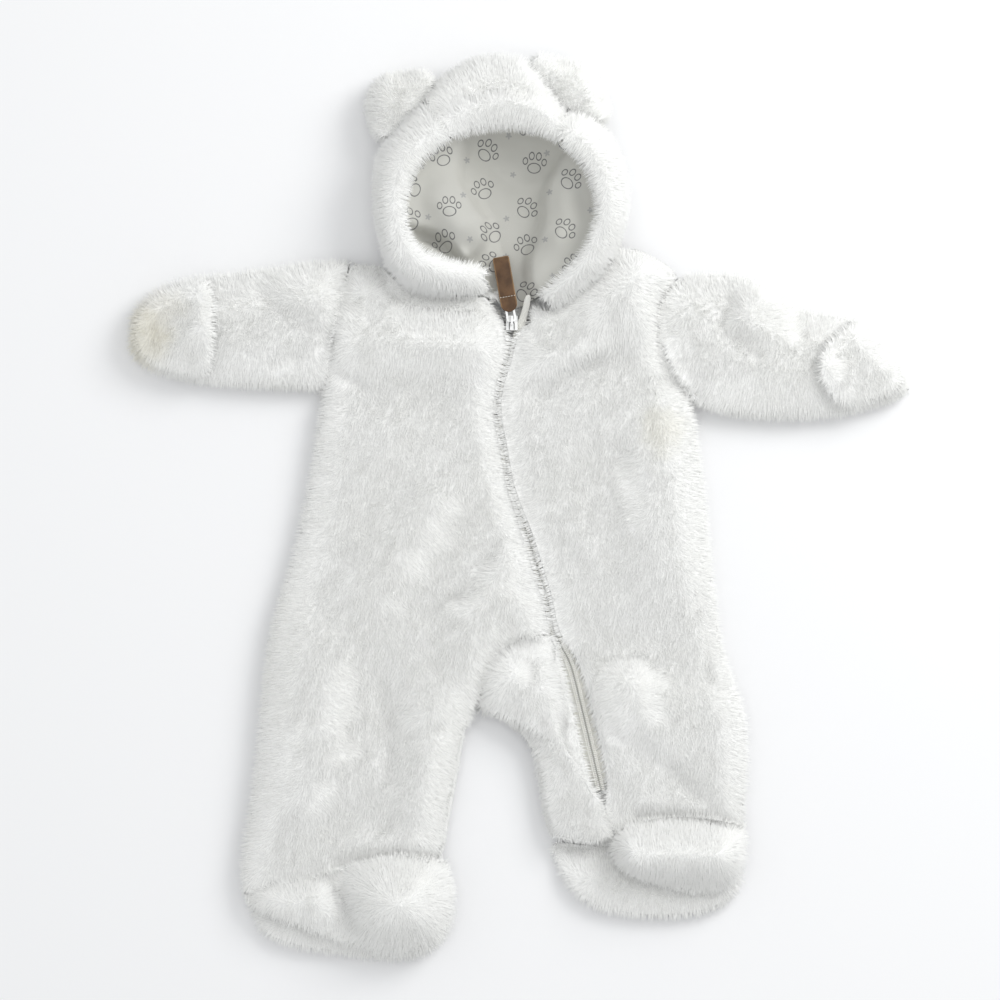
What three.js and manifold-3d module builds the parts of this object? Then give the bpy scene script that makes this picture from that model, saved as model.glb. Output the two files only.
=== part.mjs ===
// A baby's plush snowsuit, laid flat on its back: bear-eared hood with a printed lining, fold-over mitts,
// closed feet, and a zip from the neck down the wearer's left leg. Millimetres, seen from above with the
// hood towards +Y and the wearer's right side towards -X. It lies on z = 0, under the origin.
import * as THREE from "three";
import Module from "manifold-3d";
import { mergeVertices } from "three/addons/utils/BufferGeometryUtils.js";

const wasm = await Module();
wasm.setup();

// Driving dimensions
const plush = 8; // knitted backing with its standing pile
const backTop = 8; // the back lies on the surface, so its upper side is this high
const layerGap = 0.4; // between a layer and the one it lies on
const seamGap = 0.5; // between two pieces that are sewn together
const hoodGap = 1.0; // between the body's neckline and the hood, which leans over it
const loft = 12; // how far the front stands over the side seams
const rimWide = 15; // how far in from its side seams the front is rounded
const rimLow = 6; // rounding of the back where it leaves the surface
const seamHigh = backTop + layerGap; // side seams, where front meets back
const thinEdge = 0.9; // a wall at its very edge

// Zip, a coil zip with 6 mm of teeth
const teethWide = 6;
const teethLow = 12.8;
const teethHigh = 15.4;
const tapeLow = 11.4;
const tapeHigh = 12.4;
const tapeWide = 11;
const zipTop = 131;
const zipEnd = -214;

// Half the width left open between the front's edges, from the slider down to where they are sewn together
const zipOpening = [
  { y: 131, half: 5.2 }, { y: 116, half: 3.5 }, { y: 0, half: 3.5 }, { y: -26, half: 4.8 }, { y: -70, half: 4.6 },
  { y: -96, half: 3.6 }, { y: -126, half: 7 }, { y: -190, half: 7.6 }, { y: -214, half: 6 }, { y: -221, half: 0.25 },
];

// Lines that two or more pieces share, as [x, y]
const armholeRight = [[-127, 185], [-133, 160], [-139, 130], [-144, 105], [-147, 87]];
const armholeLeft = [[120, 174], [106, 156], [102, 134], [110, 108], [127.5, 81]];
const sideRight = [
  [-147, 87], [-152, 55.5], [-158, 18], [-163.5, -12], [-173, -49.5], [-184.5, -87], [-190, -117],
  [-193, -147], [-197, -192], [-203, -237], [-208, -272], [-207, -291],
];
const sideLeft = [
  [127.5, 81], [133, 40.5], [138, 3], [142, -42], [145.5, -72], [151, -109.5], [160.5, -139.5],
  [167, -158], [168.5, -192], [167, -225], [166, -241],
];
const inseamRight = [[-35, -155], [-40, -170], [-44, -192], [-49.5, -222], [-55, -252], [-57, -268]];
const inseamLeft = [[11, -158], [11, -175], [11, -192], [14, -222], [20, -252]];
const zipLine = [
  [-6.5, 131], [-9, 112], [-16, 89], [-18, 70], [-13.5, 44], [-7, 10], [1, -12], [10.5, -42], [20, -72],
  [26, -98], [37, -121], [44, -147], [52, -181], [59, -211], [64, -232], [69, -249],
];
const gussetArch = [[21, -98.5], [8, -100], [-4, -103], [-14, -108], [-22, -117], [-27, -130], [-31, -143], [-35, -155]];
const neckRight = [[-104, 181], [-98, 170], [-84, 161.5], [-71, 157.8], [-46, 155.8], [-24, 156.5]];
const neckLeft = [[9, 147], [24, 143], [43, 155], [63, 174], [76, 196]];
const shoulderLeft = [[76, 196], [82, 196], [97, 189], [110, 181.5], [120, 174]];
const napeRight = [[-104, 181], [-58, 163], [-12.3, 152]];
const napeLeft = [[-11.7, 152], [32, 167], [76, 196]];
const ankleRight = [[-207, -291], [-166, -282], [-132, -273], [-91, -263], [-57, -268]];
const ankleInnerLeft = [[20, -252], [45, -256], [60, -256], [68.7, -249.2]];
const ankleOuterLeft = [[69.3, -248.8], [78, -243], [104, -235.5], [134, -235.5], [166, -241]];
const solesTopRight = [[-207, -291], [-166, -285], [-132, -277], [-91, -270], [-57, -268]];
const solesTopLeft = [[20, -252.5], [60, -257.5], [110, -253], [166, -243]];

const sleeveRightTop = [[-127, 185], [-166, 181], [-203, 175], [-237, 172], [-267, 165], [-286, 153], [-294.5, 138]];
const sleeveRightLow = [[-147, 87], [-166, 87], [-203, 88.5], [-237, 91], [-267, 97], [-286, 105], [-294.5, 119]];
const sleeveLeftTop = [
  [120, 174], [142, 174], [164, 173], [190, 162], [209, 146], [226, 143], [243, 142], [263, 134],
  [277, 119], [290, 103],
];
const sleeveLeftLow = [
  [127.5, 81], [134, 74], [157, 67.5], [202, 64.5], [247, 68], [269, 75], [285, 79.5], [294.5, 87],
];

// Hood rim, from the wearer's right of the zip round the face to the left. inX, inY: the edge of the face
// opening. outX, outY: where the hood meets the surface or the neckline. crest, lip: heights of the brim's
// top and of its turned-in edge. valley: depth of the crease behind the brim
const hoodStations = [
  { inX: -24, inY: 177, outX: -25, outY: 157.8, crest: 30, lip: 19, valley: 0 },
  { inX: -46, inY: 180, outX: -47, outY: 157.3, crest: 38, lip: 23, valley: 0 },
  { inX: -68, inY: 185, outX: -72, outY: 159.6, crest: 45, lip: 28, valley: 0 },
  { inX: -82, inY: 196, outX: -95, outY: 171.5, crest: 50, lip: 32, valley: 0 },
  { inX: -87, inY: 213, outX: -106, outY: 196, crest: 53, lip: 34, valley: 0 },
  { inX: -85, inY: 232, outX: -111, outY: 230, crest: 54, lip: 35, valley: 0 },
  { inX: -77, inY: 250, outX: -107, outY: 262, crest: 55, lip: 35, valley: 0 },
  { inX: -63, inY: 264, outX: -86, outY: 289, crest: 54, lip: 35, valley: 2 },
  { inX: -41, inY: 274.5, outX: -62, outY: 318, crest: 53, lip: 35, valley: 5 },
  { inX: -16, inY: 279, outX: -30, outY: 338.5, crest: 52, lip: 35, valley: 9 },
  { inX: 5, inY: 277.5, outX: 6, outY: 334, crest: 52, lip: 35, valley: 7 },
  { inX: 25, inY: 271, outX: 25, outY: 304, crest: 53, lip: 35, valley: 2 },
  { inX: 42, inY: 257, outX: 57, outY: 287, crest: 54, lip: 35, valley: 0 },
  { inX: 53, inY: 238, outX: 77, outY: 257, crest: 54, lip: 35, valley: 0 },
  { inX: 57, inY: 217, outX: 81, outY: 226, crest: 53, lip: 34, valley: 0 },
  { inX: 52, inY: 198, outX: 75, outY: 198.5, crest: 50, lip: 32, valley: 0 },
  { inX: 42, inY: 181, outX: 62, outY: 176, crest: 46, lip: 28, valley: 0 },
  { inX: 28, inY: 168, outX: 42, outY: 157.2, crest: 40, lip: 24, valley: 0 },
  { inX: 13, inY: 156, outX: 24, outY: 145.2, crest: 33, lip: 19, valley: 0 },
];
const crownFrom = 7.6; // stations where the crown is sewn to the sides
const crownTo = 11.3;

// Largest folds of the front, as soft troughs (low < 0) and ridges, each along a line with a half-width
const bodyFolds = [
  { from: [-28, -8], to: [-74, -80], wide: 13, high: -7 },
  { from: [-62, 4], to: [-104, -70], wide: 20, high: 5 },
  { from: [-8, -40], to: [-40, -95], wide: 14, high: 4 },
  { from: [14, 80], to: [74, 108], wide: 11, high: -6 },
  { from: [24, 104], to: [92, 136], wide: 16, high: 5 },
  { from: [-94, 158], to: [-22, 149], wide: 7, high: -4 },
  { from: [-132, 118], to: [-34, 116], wide: 17, high: 5 },
  { from: [-128, 84], to: [-60, 78], wide: 12, high: -4 },
  { from: [60, 20], to: [50, -40], wide: 18, high: -4 },
  { from: [96, 30], to: [104, -50], wide: 18, high: 4 },
  { from: [52, -100], to: [118, -112], wide: 14, high: -4 },
  { from: [126, -80], to: [136, -134], wide: 10, high: -5 },
  { from: [84, -140], to: [96, -190], wide: 20, high: 5 },
  { from: [88, -190], to: [136, -226], wide: 12, high: -5 },
  { from: [-104, -140], to: [-96, -204], wide: 15, high: -6 },
  { from: [-152, -110], to: [-160, -220], wide: 22, high: 5 },
  { from: [-72, -150], to: [-80, -240], wide: 14, high: 4 },
  { from: [-130, -236], to: [-84, -246], wide: 12, high: -4 },
  { from: [88, 150], to: [104, 168], wide: 18, high: 7 },
  { from: [58, 150], to: [86, 182], wide: 18, high: 7 },
  { from: [-16, -130], to: [2, -142], wide: 20, high: 5 },
];
const seamFolds = [
  { along: gussetArch, wide: 5, high: -5 },
  { along: armholeLeft, wide: 8, high: -7 },
  { along: armholeRight, wide: 7, high: -4 },
  { along: ankleRight, wide: 8, high: -3 },
  { along: ankleOuterLeft, wide: 9, high: -5 },
];
const sleeveFolds = [
  { from: [-216, 160], to: [-160, 117], wide: 11, high: -6 },
  { from: [-190, 110], to: [-236, 130], wide: 16, high: 4 },
  { from: [-160, 160], to: [-146, 140], wide: 16, high: 4 },
  { from: [155, 162], to: [150, 132], wide: 9, high: -7 },
  { from: [150, 132], to: [170, 112], wide: 10, high: -5 },
  { from: [174, 160], to: [186, 146], wide: 14, high: 7 },
  { from: [210, 146], to: [198, 128], wide: 8, high: -6 },
  { from: [176, 92], to: [226, 98], wide: 20, high: 5 },
  { from: [-262, 131], to: [-250, 131], wide: 30, high: -3 },
  { from: [252, 104], to: [266, 104], wide: 26, high: -3 },
];
const footFolds = [
  { from: [-98, -300], to: [-84, -302], wide: 27, high: 24 },
  { from: [-136, -282], to: [-126, -318], wide: 8, high: -6 },
  { from: [-178, -300], to: [-160, -298], wide: 18, high: 4 },
  { from: [84, -262], to: [148, -264], wide: 15, high: 21 },
];
const liningFolds = [
  { from: [-58, 236], to: [-50, 208], wide: 17, high: 14 },
  { from: [-84, 196], to: [-50, 184], wide: 9, high: 8 },
  { from: [-82, 204], to: [-40, 190], wide: 5, high: -6 },
  { from: [36, 240], to: [30, 200], wide: 13, high: 11 },
  { from: [30, 200], to: [14, 172], wide: 9, high: 6 },
  { from: [-30, 214], to: [-22, 176], wide: 9, high: 6 },
];

// Plane geometry

function curve(points) {
  return new THREE.CatmullRomCurve3(points.map(([x, y]) => new THREE.Vector3(x, y, 0)), false, "centripetal");
}

// count + 1 points, evenly spaced along a smooth line through the given ones
function spaced(points, count) {
  return curve(points).getSpacedPoints(count).map((p) => [p.x, p.y]);
}

// An edge of a piece: each part is [points, rows], or [points] to take them as they are, and the corners
// between the parts stay sharp
function edgeOf(...parts) {
  const points = parts.flatMap(([line, rows]) => (rows ? spaced(line, rows) : line).slice(0, -1));
  const last = parts[parts.length - 1][0];
  return [...points, last[last.length - 1]];
}

// The line moved to its left by a distance, or by a function of y
function moved(line, distance) {
  return line.map(([x, y], i) => {
    const a = line[Math.max(0, i - 1)];
    const b = line[Math.min(line.length - 1, i + 1)];
    const length = Math.hypot(b[0] - a[0], b[1] - a[1]) || 1;
    const d = typeof distance === "function" ? distance(y) : distance;
    return [x - ((b[1] - a[1]) / length) * d, y + ((b[0] - a[0]) / length) * d];
  });
}

function toSegment(x, y, a, b) {
  const dx = b[0] - a[0];
  const dy = b[1] - a[1];
  const t = Math.min(1, Math.max(0, ((x - a[0]) * dx + (y - a[1]) * dy) / (dx * dx + dy * dy || 1)));
  return Math.hypot(x - a[0] - t * dx, y - a[1] - t * dy);
}

function toLine(x, y, line) {
  let nearest = Infinity;
  for (let i = 1; i < line.length; i++) nearest = Math.min(nearest, toSegment(x, y, line[i - 1], line[i]));
  return nearest;
}

const mix = (a, b, t) => a + (b - a) * t;
const clamp01 = (t) => Math.min(1, Math.max(0, t));
const ease = (t) => clamp01(t) ** 2 * (3 - 2 * clamp01(t));
const quarterRound = (d, wide) => Math.sqrt(1 - (1 - clamp01(d / wide)) ** 2);

function foldHeight(x, y, folds) {
  let height = 0;
  for (const f of folds) {
    const d = f.along ? toLine(x, y, f.along) : toSegment(x, y, f.from, f.to);
    height += f.high * Math.exp(-((d / f.wide) ** 2));
  }
  return height;
}

// Heights of the layers

const fine = 40; // points along a curve that only serves to measure distances
const silhouette = [
  ...spaced([...sleeveRightTop].reverse().slice(0, -1).concat([[-127, 185], [-104, 181]]), fine).reverse(),
  ...spaced([...sleeveRightLow].reverse(), fine),
  ...spaced(sideRight, fine),
];
const footRightEdge = [
  [-207, -291], [-207, -297], [-203, -303], [-194, -321], [-177, -329], [-136, -336], [-94.5, -340.5],
  [-76, -338.5], [-61, -331], [-52, -316], [-49, -300], [-51, -282], [-57, -268],
];
const footLeftEdge = [
  [20, -253], [28, -274.5], [37, -289.5], [52, -301], [89, -308.5], [134, -306.5], [157, -297],
  [166, -284], [167, -268], [168, -250], [166, -241],
];
const crotchEdge = [[-35, -155], [-16, -158.5], [11, -158]];
silhouette.push(...spaced(footRightEdge, fine), ...spaced([...inseamRight].reverse(), fine), ...crotchEdge);
silhouette.push(...spaced(inseamLeft, fine), ...spaced(footLeftEdge, fine), ...spaced([...sideLeft].reverse(), fine));
silhouette.push(...spaced(sleeveLeftLow, fine), ...spaced([...sleeveLeftTop].reverse(), fine));
silhouette.push(...spaced([...shoulderLeft].reverse(), fine));

const zipFine = spaced(zipLine, 3 * fine);
const frontFolds = [...bodyFolds, ...seamFolds, ...sleeveFolds, ...footFolds];
const thinnestFront = seamHigh + plush; // a front that lies right on the back

function frontTop(x, y) {
  const puff = Math.max(thinnestFront, seamHigh + loft + foldHeight(x, y, frontFolds));
  const seamDip = y < zipEnd - 4 || y > zipTop + 30 ? 0 : 3 * Math.exp(-((toLine(x, y, zipFine) / 8) ** 2));
  const edge = seamHigh + thinEdge;
  return edge + (Math.max(thinnestFront + 2, puff - seamDip) - edge) * quarterRound(toLine(x, y, silhouette), rimWide);
}

// The front's underside lies on the back, or on the zip tapes where they run under it
function frontUnder(x, y) {
  const overTape = y > zipTop + 30 || y < zipEnd - 12 ? 0 : 1 - ease((toLine(x, y, zipFine) - tapeWide - 17) / 6);
  return Math.max(seamHigh, frontTop(x, y) - plush, mix(seamHigh, tapeHigh + layerGap, overTape));
}

const frontUnderRounded = (x, y) => Math.min(frontUnder(x, y), frontTop(x, y) - thinEdge);
const backUnder = (x, y) => rimLow * (1 - quarterRound(toLine(x, y, silhouette), rimLow));

// Closed solids from grids

function geometryOf(vertices, triangles) {
  let volume = 0;
  for (const [a, b, c] of triangles) {
    const [p, q, r] = [vertices[a], vertices[b], vertices[c]];
    volume += p[0] * (q[1] * r[2] - q[2] * r[1]) + p[1] * (q[2] * r[0] - q[0] * r[2]) + p[2] * (q[0] * r[1] - q[1] * r[0]);
  }
  const facing = volume < 0 ? triangles.map(([a, b, c]) => [a, c, b]) : triangles;
  const geometry = new THREE.BufferGeometry();
  geometry.setAttribute("position", new THREE.Float32BufferAttribute(vertices.flat(), 3));
  geometry.setIndex(facing.flat());
  const merged = mergeVertices(geometry, 1e-3);
  const index = merged.index.array;
  const kept = [];
  for (let i = 0; i < index.length; i += 3) {
    const [a, b, c] = [index[i], index[i + 1], index[i + 2]];
    if (a !== b && b !== c && a !== c) kept.push(a, b, c);
  }
  merged.setIndex(kept);
  return merged;
}

const quad = (a, b, c, d) => [[a, b, c], [a, c, d]];

// Across a piece: close together near a rounded rim, even elsewhere
const rimSteps = [0, 1.6, 5, 10.5];

function columnsOf(width, count, leftRim, rightRim) {
  const start = leftRim ? rimSteps : [0];
  const end = (rightRim ? rimSteps : [0]).map((d) => width - d).reverse();
  const inner = count - start.length - end.length + 1;
  const a = start[start.length - 1];
  const b = end[0];
  if (b - a < width * 0.2) return Array.from({ length: count + 1 }, (_, i) => i / count);
  const middle = Array.from({ length: inner }, (_, i) => a + ((b - a) * (i + 1)) / (inner + 1));
  return [...start, ...middle, ...end].map((d) => d / width);
}

// A grid of [x, y] between two edges with as many points, bent to fit a top and a bottom line
function gridOf({ left, right, top, bottom, columns, leftRim = false, rightRim = false }) {
  const topLine = top && spaced(top, fine);
  const bottomLine = bottom && spaced(bottom, fine);
  const at = (line, s) => {
    const i = Math.min(fine - 1, Math.floor(s * fine));
    return [mix(line[i][0], line[i + 1][0], s * fine - i), mix(line[i][1], line[i + 1][1], s * fine - i)];
  };
  const bend = (line, a, b, s) => (line ? at(line, s).map((v, k) => v - mix(a[k], b[k], s)) : [0, 0]);
  const last = left.length - 1;
  return left.map((l, i) => {
    const r = right[i];
    const u = i / last;
    const width = Math.hypot(r[0] - l[0], r[1] - l[1]);
    return columnsOf(width, columns, leftRim, rightRim).map((s) => {
      const up = bend(topLine, left[0], right[0], s);
      const down = bend(bottomLine, left[last], right[last], s);
      return [0, 1].map((k) => mix(l[k], r[k], s) + up[k] * (1 - u) ** 3 + down[k] * u ** 5);
    });
  });
}

// A wall between two heights over a grid
function slab(grid, top, under) {
  const rows = grid.length;
  const columns = grid[0].length;
  const vertices = [];
  for (const height of [top, under]) for (const row of grid) for (const [x, y] of row) vertices.push([x, y, height(x, y)]);
  const upper = (i, j) => i * columns + j;
  const lower = (i, j) => rows * columns + upper(i, j);
  const triangles = [];
  for (let i = 1; i < rows; i++) {
    for (let j = 1; j < columns; j++) {
      triangles.push(...quad(upper(i - 1, j - 1), upper(i, j - 1), upper(i, j), upper(i - 1, j)));
      triangles.push(...quad(lower(i - 1, j - 1), lower(i - 1, j), lower(i, j), lower(i, j - 1)));
    }
    triangles.push(...quad(upper(i - 1, 0), lower(i - 1, 0), lower(i, 0), upper(i, 0)));
    const j = columns - 1;
    triangles.push(...quad(upper(i - 1, j), upper(i, j), lower(i, j), lower(i - 1, j)));
  }
  for (let j = 1; j < columns; j++) {
    triangles.push(...quad(upper(0, j - 1), upper(0, j), lower(0, j), lower(0, j - 1)));
    const i = rows - 1;
    triangles.push(...quad(upper(i, j - 1), lower(i, j - 1), lower(i, j), upper(i, j)));
  }
  return geometryOf(vertices, triangles);
}

// A wall between two heights inside a closed outline, on rings that shrink to its centre. The heights are
// functions of x, y, the ring's share of the outline and the point's number
function dish({ outline, centre, rings, top, under }) {
  const count = outline.length;
  const vertices = [];
  for (const height of [top, under]) {
    for (const ring of rings) {
      outline.forEach(([ox, oy], k) => {
        const [x, y] = [mix(centre[0], ox, ring), mix(centre[1], oy, ring)];
        vertices.push([x, y, height(x, y, ring, k)]);
      });
    }
    vertices.push([...centre, height(...centre, 0, 0)]);
  }
  const layer = rings.length * count + 1;
  const triangles = [];
  for (let k = 0; k < count; k++) {
    const next = (k + 1) % count;
    for (let r = 1; r < rings.length; r++) {
      const [a, b, c, d] = [(r - 1) * count + k, (r - 1) * count + next, r * count + next, r * count + k];
      triangles.push(...quad(a, b, c, d), ...quad(a + layer, d + layer, c + layer, b + layer));
    }
    const inner = (rings.length - 1) * count;
    triangles.push([inner + k, inner + next, layer - 1]);
    triangles.push([inner + next + layer, inner + k + layer, 2 * layer - 1]);
    triangles.push(...quad(k, k + layer, next + layer, next));
  }
  return geometryOf(vertices, triangles);
}

// Sections of paired outer and inner points, joined in order into one wall with flat ends
function loft3d(sections) {
  const size = sections[0].outer.length;
  const vertices = sections.flatMap(({ outer, inner }) => [...outer, ...[...inner].reverse()]);
  const ring = 2 * size;
  const triangles = [];
  for (let i = 1; i < sections.length; i++) {
    for (let k = 0; k < ring; k++) {
      const next = (k + 1) % ring;
      triangles.push(...quad((i - 1) * ring + k, (i - 1) * ring + next, i * ring + next, i * ring + k));
    }
  }
  for (let k = 1; k < size; k++) {
    const end = (sections.length - 1) * ring;
    triangles.push(...quad(k - 1, ring - k, ring - k - 1, k));
    triangles.push(...quad(end + k - 1, end + k, end + ring - k - 1, end + ring - k));
  }
  return geometryOf(vertices, triangles);
}

// A flattened tube of cloth, open at its first row: the outer grid and the hollow's grid have as many columns
function sleeveTube(outer, hollow, { top, under, hollowTop, hollowUnder }) {
  const columns = outer[0].length;
  const ringOf = (row, high, low) => [
    ...row.map(([x, y]) => [x, y, high(x, y)]),
    ...[...row].reverse().map(([x, y]) => [x, y, low(x, y)]),
  ];
  const outerRings = outer.map((row) => ringOf(row, top, under));
  const hollowRings = hollow.map((row) => ringOf(row, hollowTop, hollowUnder));
  const vertices = [...outerRings, ...hollowRings].flat();
  const ring = 2 * columns;
  const triangles = [];
  const skin = (first, rings, flip) => {
    const add = (list) => triangles.push(...(flip ? list.map(([a, b, c]) => [a, c, b]) : list));
    for (let i = 1; i < rings; i++) {
      for (let k = 0; k < ring; k++) {
        const [a, b] = [first + (i - 1) * ring, first + i * ring];
        const next = (k + 1) % ring;
        add(quad(a + k, a + next, b + next, b + k));
      }
    }
    const end = first + (rings - 1) * ring;
    for (let k = 1; k < columns; k++) add(quad(end + k - 1, end + k, end + ring - 1 - k, end + ring - k));
  };
  skin(0, outer.length, false);
  const inner = outer.length * ring;
  skin(inner, hollow.length, true);
  for (let k = 0; k < ring; k++) {
    const next = (k + 1) % ring;
    triangles.push(...quad(next, k, inner + k, inner + next));
  }
  return geometryOf(vertices, triangles);
}

function solidOf(geometry) {
  const bare = geometry.clone();
  bare.deleteAttribute("normal");
  bare.deleteAttribute("uv");
  const merged = mergeVertices(bare, 1e-4);
  return new wasm.Manifold(
    new wasm.Mesh({
      numProp: 3,
      vertProperties: merged.attributes.position.array,
      triVerts: new Uint32Array(merged.index.array),
    }),
  );
}

function geometryFrom(solid) {
  const mesh = solid.getMesh();
  const geometry = new THREE.BufferGeometry();
  geometry.setAttribute("position", new THREE.BufferAttribute(mesh.vertProperties, 3));
  geometry.setIndex(new THREE.BufferAttribute(mesh.triVerts, 1));
  return geometry;
}

const fused = (...geometries) => geometryFrom(geometries.map(solidOf).reduce((a, b) => a.add(b)));
const boxAt = (wide, long, high, x, y, z) => new THREE.BoxGeometry(wide, long, high).translate(x, y, z);

// Cloth pieces. Each part of an edge is [line, rows]

const zipPoints = spaced(zipLine, 32);
const archPoints = spaced(gussetArch, 6);

function openingAt(y) {
  const below = zipOpening.findIndex((row) => row.y <= y);
  if (below < 1) return zipOpening[below < 0 ? zipOpening.length - 1 : 0].half;
  const [a, b] = [zipOpening[below - 1], zipOpening[below]];
  return mix(a.half, b.half, (a.y - y) / (a.y - b.y));
}

// The zip line between two heights, moved sideways by as much as the piece leaves open there
function zipEdge(side, from, to) {
  return moved(zipPoints, (y) => side * openingAt(y)).filter((_, i) => zipPoints[i][1] <= from && zipPoints[i][1] >= to);
}

const joined = (a, b) => [...spaced(a, 12), ...spaced(b, 8).slice(1)];
const lowered = (line) => line.map(([x, y]) => [x, y - seamGap]);

// A piece of the front, or of the back, with as many rows on both of its long edges
function panel({ edge, armhole, armholeRows, side, armholeOn, top, bottom, columns, heights }) {
  const outerEdge = edgeOf([armhole, armholeRows], [side, edge.length - 1 - armholeRows]);
  const edges = armholeOn === "left" ? { left: outerEdge, right: edge } : { left: edge, right: outerEdge };
  const rims = { leftRim: armholeOn === "left", rightRim: armholeOn === "right" };
  return slab(gridOf({ ...edges, top, bottom, columns, ...rims }), ...heights);
}

function frontRight() {
  const vEdge = [[-24.5, 156], [-19, 150], [-13.5, 141]];
  const arch = moved(archPoints, -seamGap / 2);
  const zip = zipEdge(-1, 150, -96);
  return panel({
    edge: [...vEdge, ...zip, ...edgeOf([arch], [[[-35.3, -154.6], ...inseamRight.slice(1)], 8])],
    armhole: moved(armholeRight, seamGap / 2),
    armholeRows: 7,
    side: sideRight,
    armholeOn: "left",
    top: joined([[-127, 185], neckRight[0]], lowered(neckRight)),
    bottom: moved(ankleRight, seamGap / 2),
    columns: 13,
    heights: [frontTop, frontUnderRounded],
  });
}

function frontLeft() {
  const vEdge = [[8.5, 147], [4, 139]];
  return panel({
    edge: [...vEdge, ...zipEdge(1, 150, -260)],
    armhole: moved(armholeLeft, -seamGap / 2),
    armholeRows: 8,
    side: sideLeft,
    armholeOn: "right",
    top: joined(lowered(neckLeft), shoulderLeft),
    bottom: moved(ankleOuterLeft, seamGap / 2),
    columns: 12,
    heights: [frontTop, frontUnderRounded],
  });
}

function gussetLeft() {
  const zip = zipEdge(-1, -104, -260);
  const arch = moved(archPoints, seamGap / 2);
  const rows = zip.length - 1 - (arch.length - 1) - 2;
  const grid = gridOf({
    left: edgeOf([arch], [crotchEdge, 2], [inseamLeft, rows]),
    right: zip,
    bottom: moved(ankleInnerLeft, seamGap / 2),
    columns: 7,
  });
  return slab(grid, frontTop, frontUnderRounded);
}

const flatTop = () => backTop;

function backRight() {
  const centre = [[-12.3, 151.5], [-13.3, 0], [-13.3, -156]];
  return panel({
    edge: edgeOf([centre, 10], [[centre[2], [-35, -155]], 1], [inseamRight, 6]),
    armhole: moved(armholeRight, seamGap / 2),
    armholeRows: 5,
    side: sideRight,
    armholeOn: "left",
    top: joined([[-127, 185], napeRight[0]], lowered(napeRight)),
    bottom: moved(solesTopRight, seamGap),
    columns: 8,
    heights: [flatTop, backUnder],
  });
}

function backLeft() {
  const centre = [[-11.7, 151.5], [-12.7, 0], [-12.7, -157]];
  return panel({
    edge: edgeOf([centre, 11], [[centre[2], [11, -158]], 1], [inseamLeft, 6]),
    armhole: moved(armholeLeft, -seamGap / 2),
    armholeRows: 8,
    side: sideLeft,
    armholeOn: "right",
    top: joined(lowered(napeLeft), shoulderLeft),
    bottom: moved(solesTopLeft, seamGap),
    columns: 9,
    heights: [flatTop, backUnder],
  });
}

// A sleeve from the armhole to the closed hand
function sleeve(topLine, lowLine, armhole, outward) {
  const rows = 13;
  const crowd = (line) => {
    const many = spaced(line, 100);
    return Array.from({ length: rows + 1 }, (_, i) => many[Math.round(100 * (1 - (1 - i / rows) ** 1.35))]);
  };
  const away = moved(spaced(armhole, 24), outward * 0.7);
  const shape = { left: crowd(topLine), right: crowd(lowLine), top: away, columns: 9, leftRim: true, rightRim: true };
  const outer = gridOf(shape);
  const wall = plush * 0.8;
  const hollow = outer.slice(0, -3).map((row) => {
    const [a, b] = [row[0], row[row.length - 1]];
    const share = wall / Math.hypot(b[0] - a[0], b[1] - a[1]);
    return row.map((_, j) => {
      const s = mix(share, 1 - share, j / (row.length - 1));
      return [mix(a[0], b[0], s), mix(a[1], b[1], s)];
    });
  });
  const mouth = spaced(away, 100);
  hollow[0] = hollow[0].map((_, j) => mouth[Math.round(mix(wall, 100 - wall, j / (hollow[0].length - 1)))]);
  return sleeveTube(outer, hollow, {
    top: frontTop,
    under: backUnder,
    hollowTop: (x, y) => Math.max(backTop + 0.6, frontTop(x, y) - plush),
    hollowUnder: () => backTop,
  });
}

// A fold-over mitt lies on the end of a sleeve
const mittThick = 6;
const mittRightOutline = [
  [-236, 169.5], [-252, 167], [-266, 162], [-282, 151], [-290.5, 137], [-292, 128], [-290.5, 120], [-282, 107.5],
  [-266, 99.5], [-252, 96], [-236, 93], [-233, 104], [-231.5, 120], [-231, 136], [-232.5, 155],
];
const mittLeftOutline = [
  [249, 139.5], [262, 132.5], [275, 118], [285.5, 103], [289.5, 95], [287.5, 88.5], [281, 82.5], [267.5, 78],
  [248, 70.5], [236, 76], [227, 88], [223, 100], [225, 112], [232, 122.5], [242, 131],
];
const closedLine = (points, count) => {
  const c = new THREE.CatmullRomCurve3(points.map(([x, y]) => new THREE.Vector3(x, y, 0)), true, "centripetal");
  return c.getSpacedPoints(count).slice(0, -1).map((p) => [p.x, p.y]);
};

function mitt(points, centre) {
  const outline = closedLine(points, 26);
  const loop = [...outline, outline[0]];
  const low = (x, y) => frontTop(x, y) + 1.1;
  return dish({
    outline,
    centre,
    rings: [1, 0.95, 0.84, 0.62, 0.34],
    top: (x, y) => low(x, y) + thinEdge + (mittThick - thinEdge) * quarterRound(toLine(x, y, loop), 7),
    under: low,
  });
}

// Bootees. The upper is domed over the toes, and its free edge hangs over the sole
const freeRight = [
  [-57, -268], [-52.5, -284], [-50.5, -300], [-53.5, -316], [-62, -329.5], [-80, -336.5], [-102, -335],
  [-124.5, -329], [-158, -317.5], [-188, -307], [-204, -298.5], [-207, -291],
];
const freeLeft = [
  [166, -241], [166.6, -250], [165.4, -262], [163.5, -276], [156, -286], [134, -290], [107, -285.5],
  [86, -278.5], [72, -268], [67, -257], [69, -249],
];

// The sole curls up from the heel seam to the toes
const soleFlat = (x, y) => backTop + 6 * ease(Math.min(toLine(x, y, solesTopRight), toLine(x, y, solesTopLeft)) / 34);
const soleTop = (x, y) => 7 + (soleFlat(x, y) - 7) * quarterRound(toLine(x, y, silhouette), 9);

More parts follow.
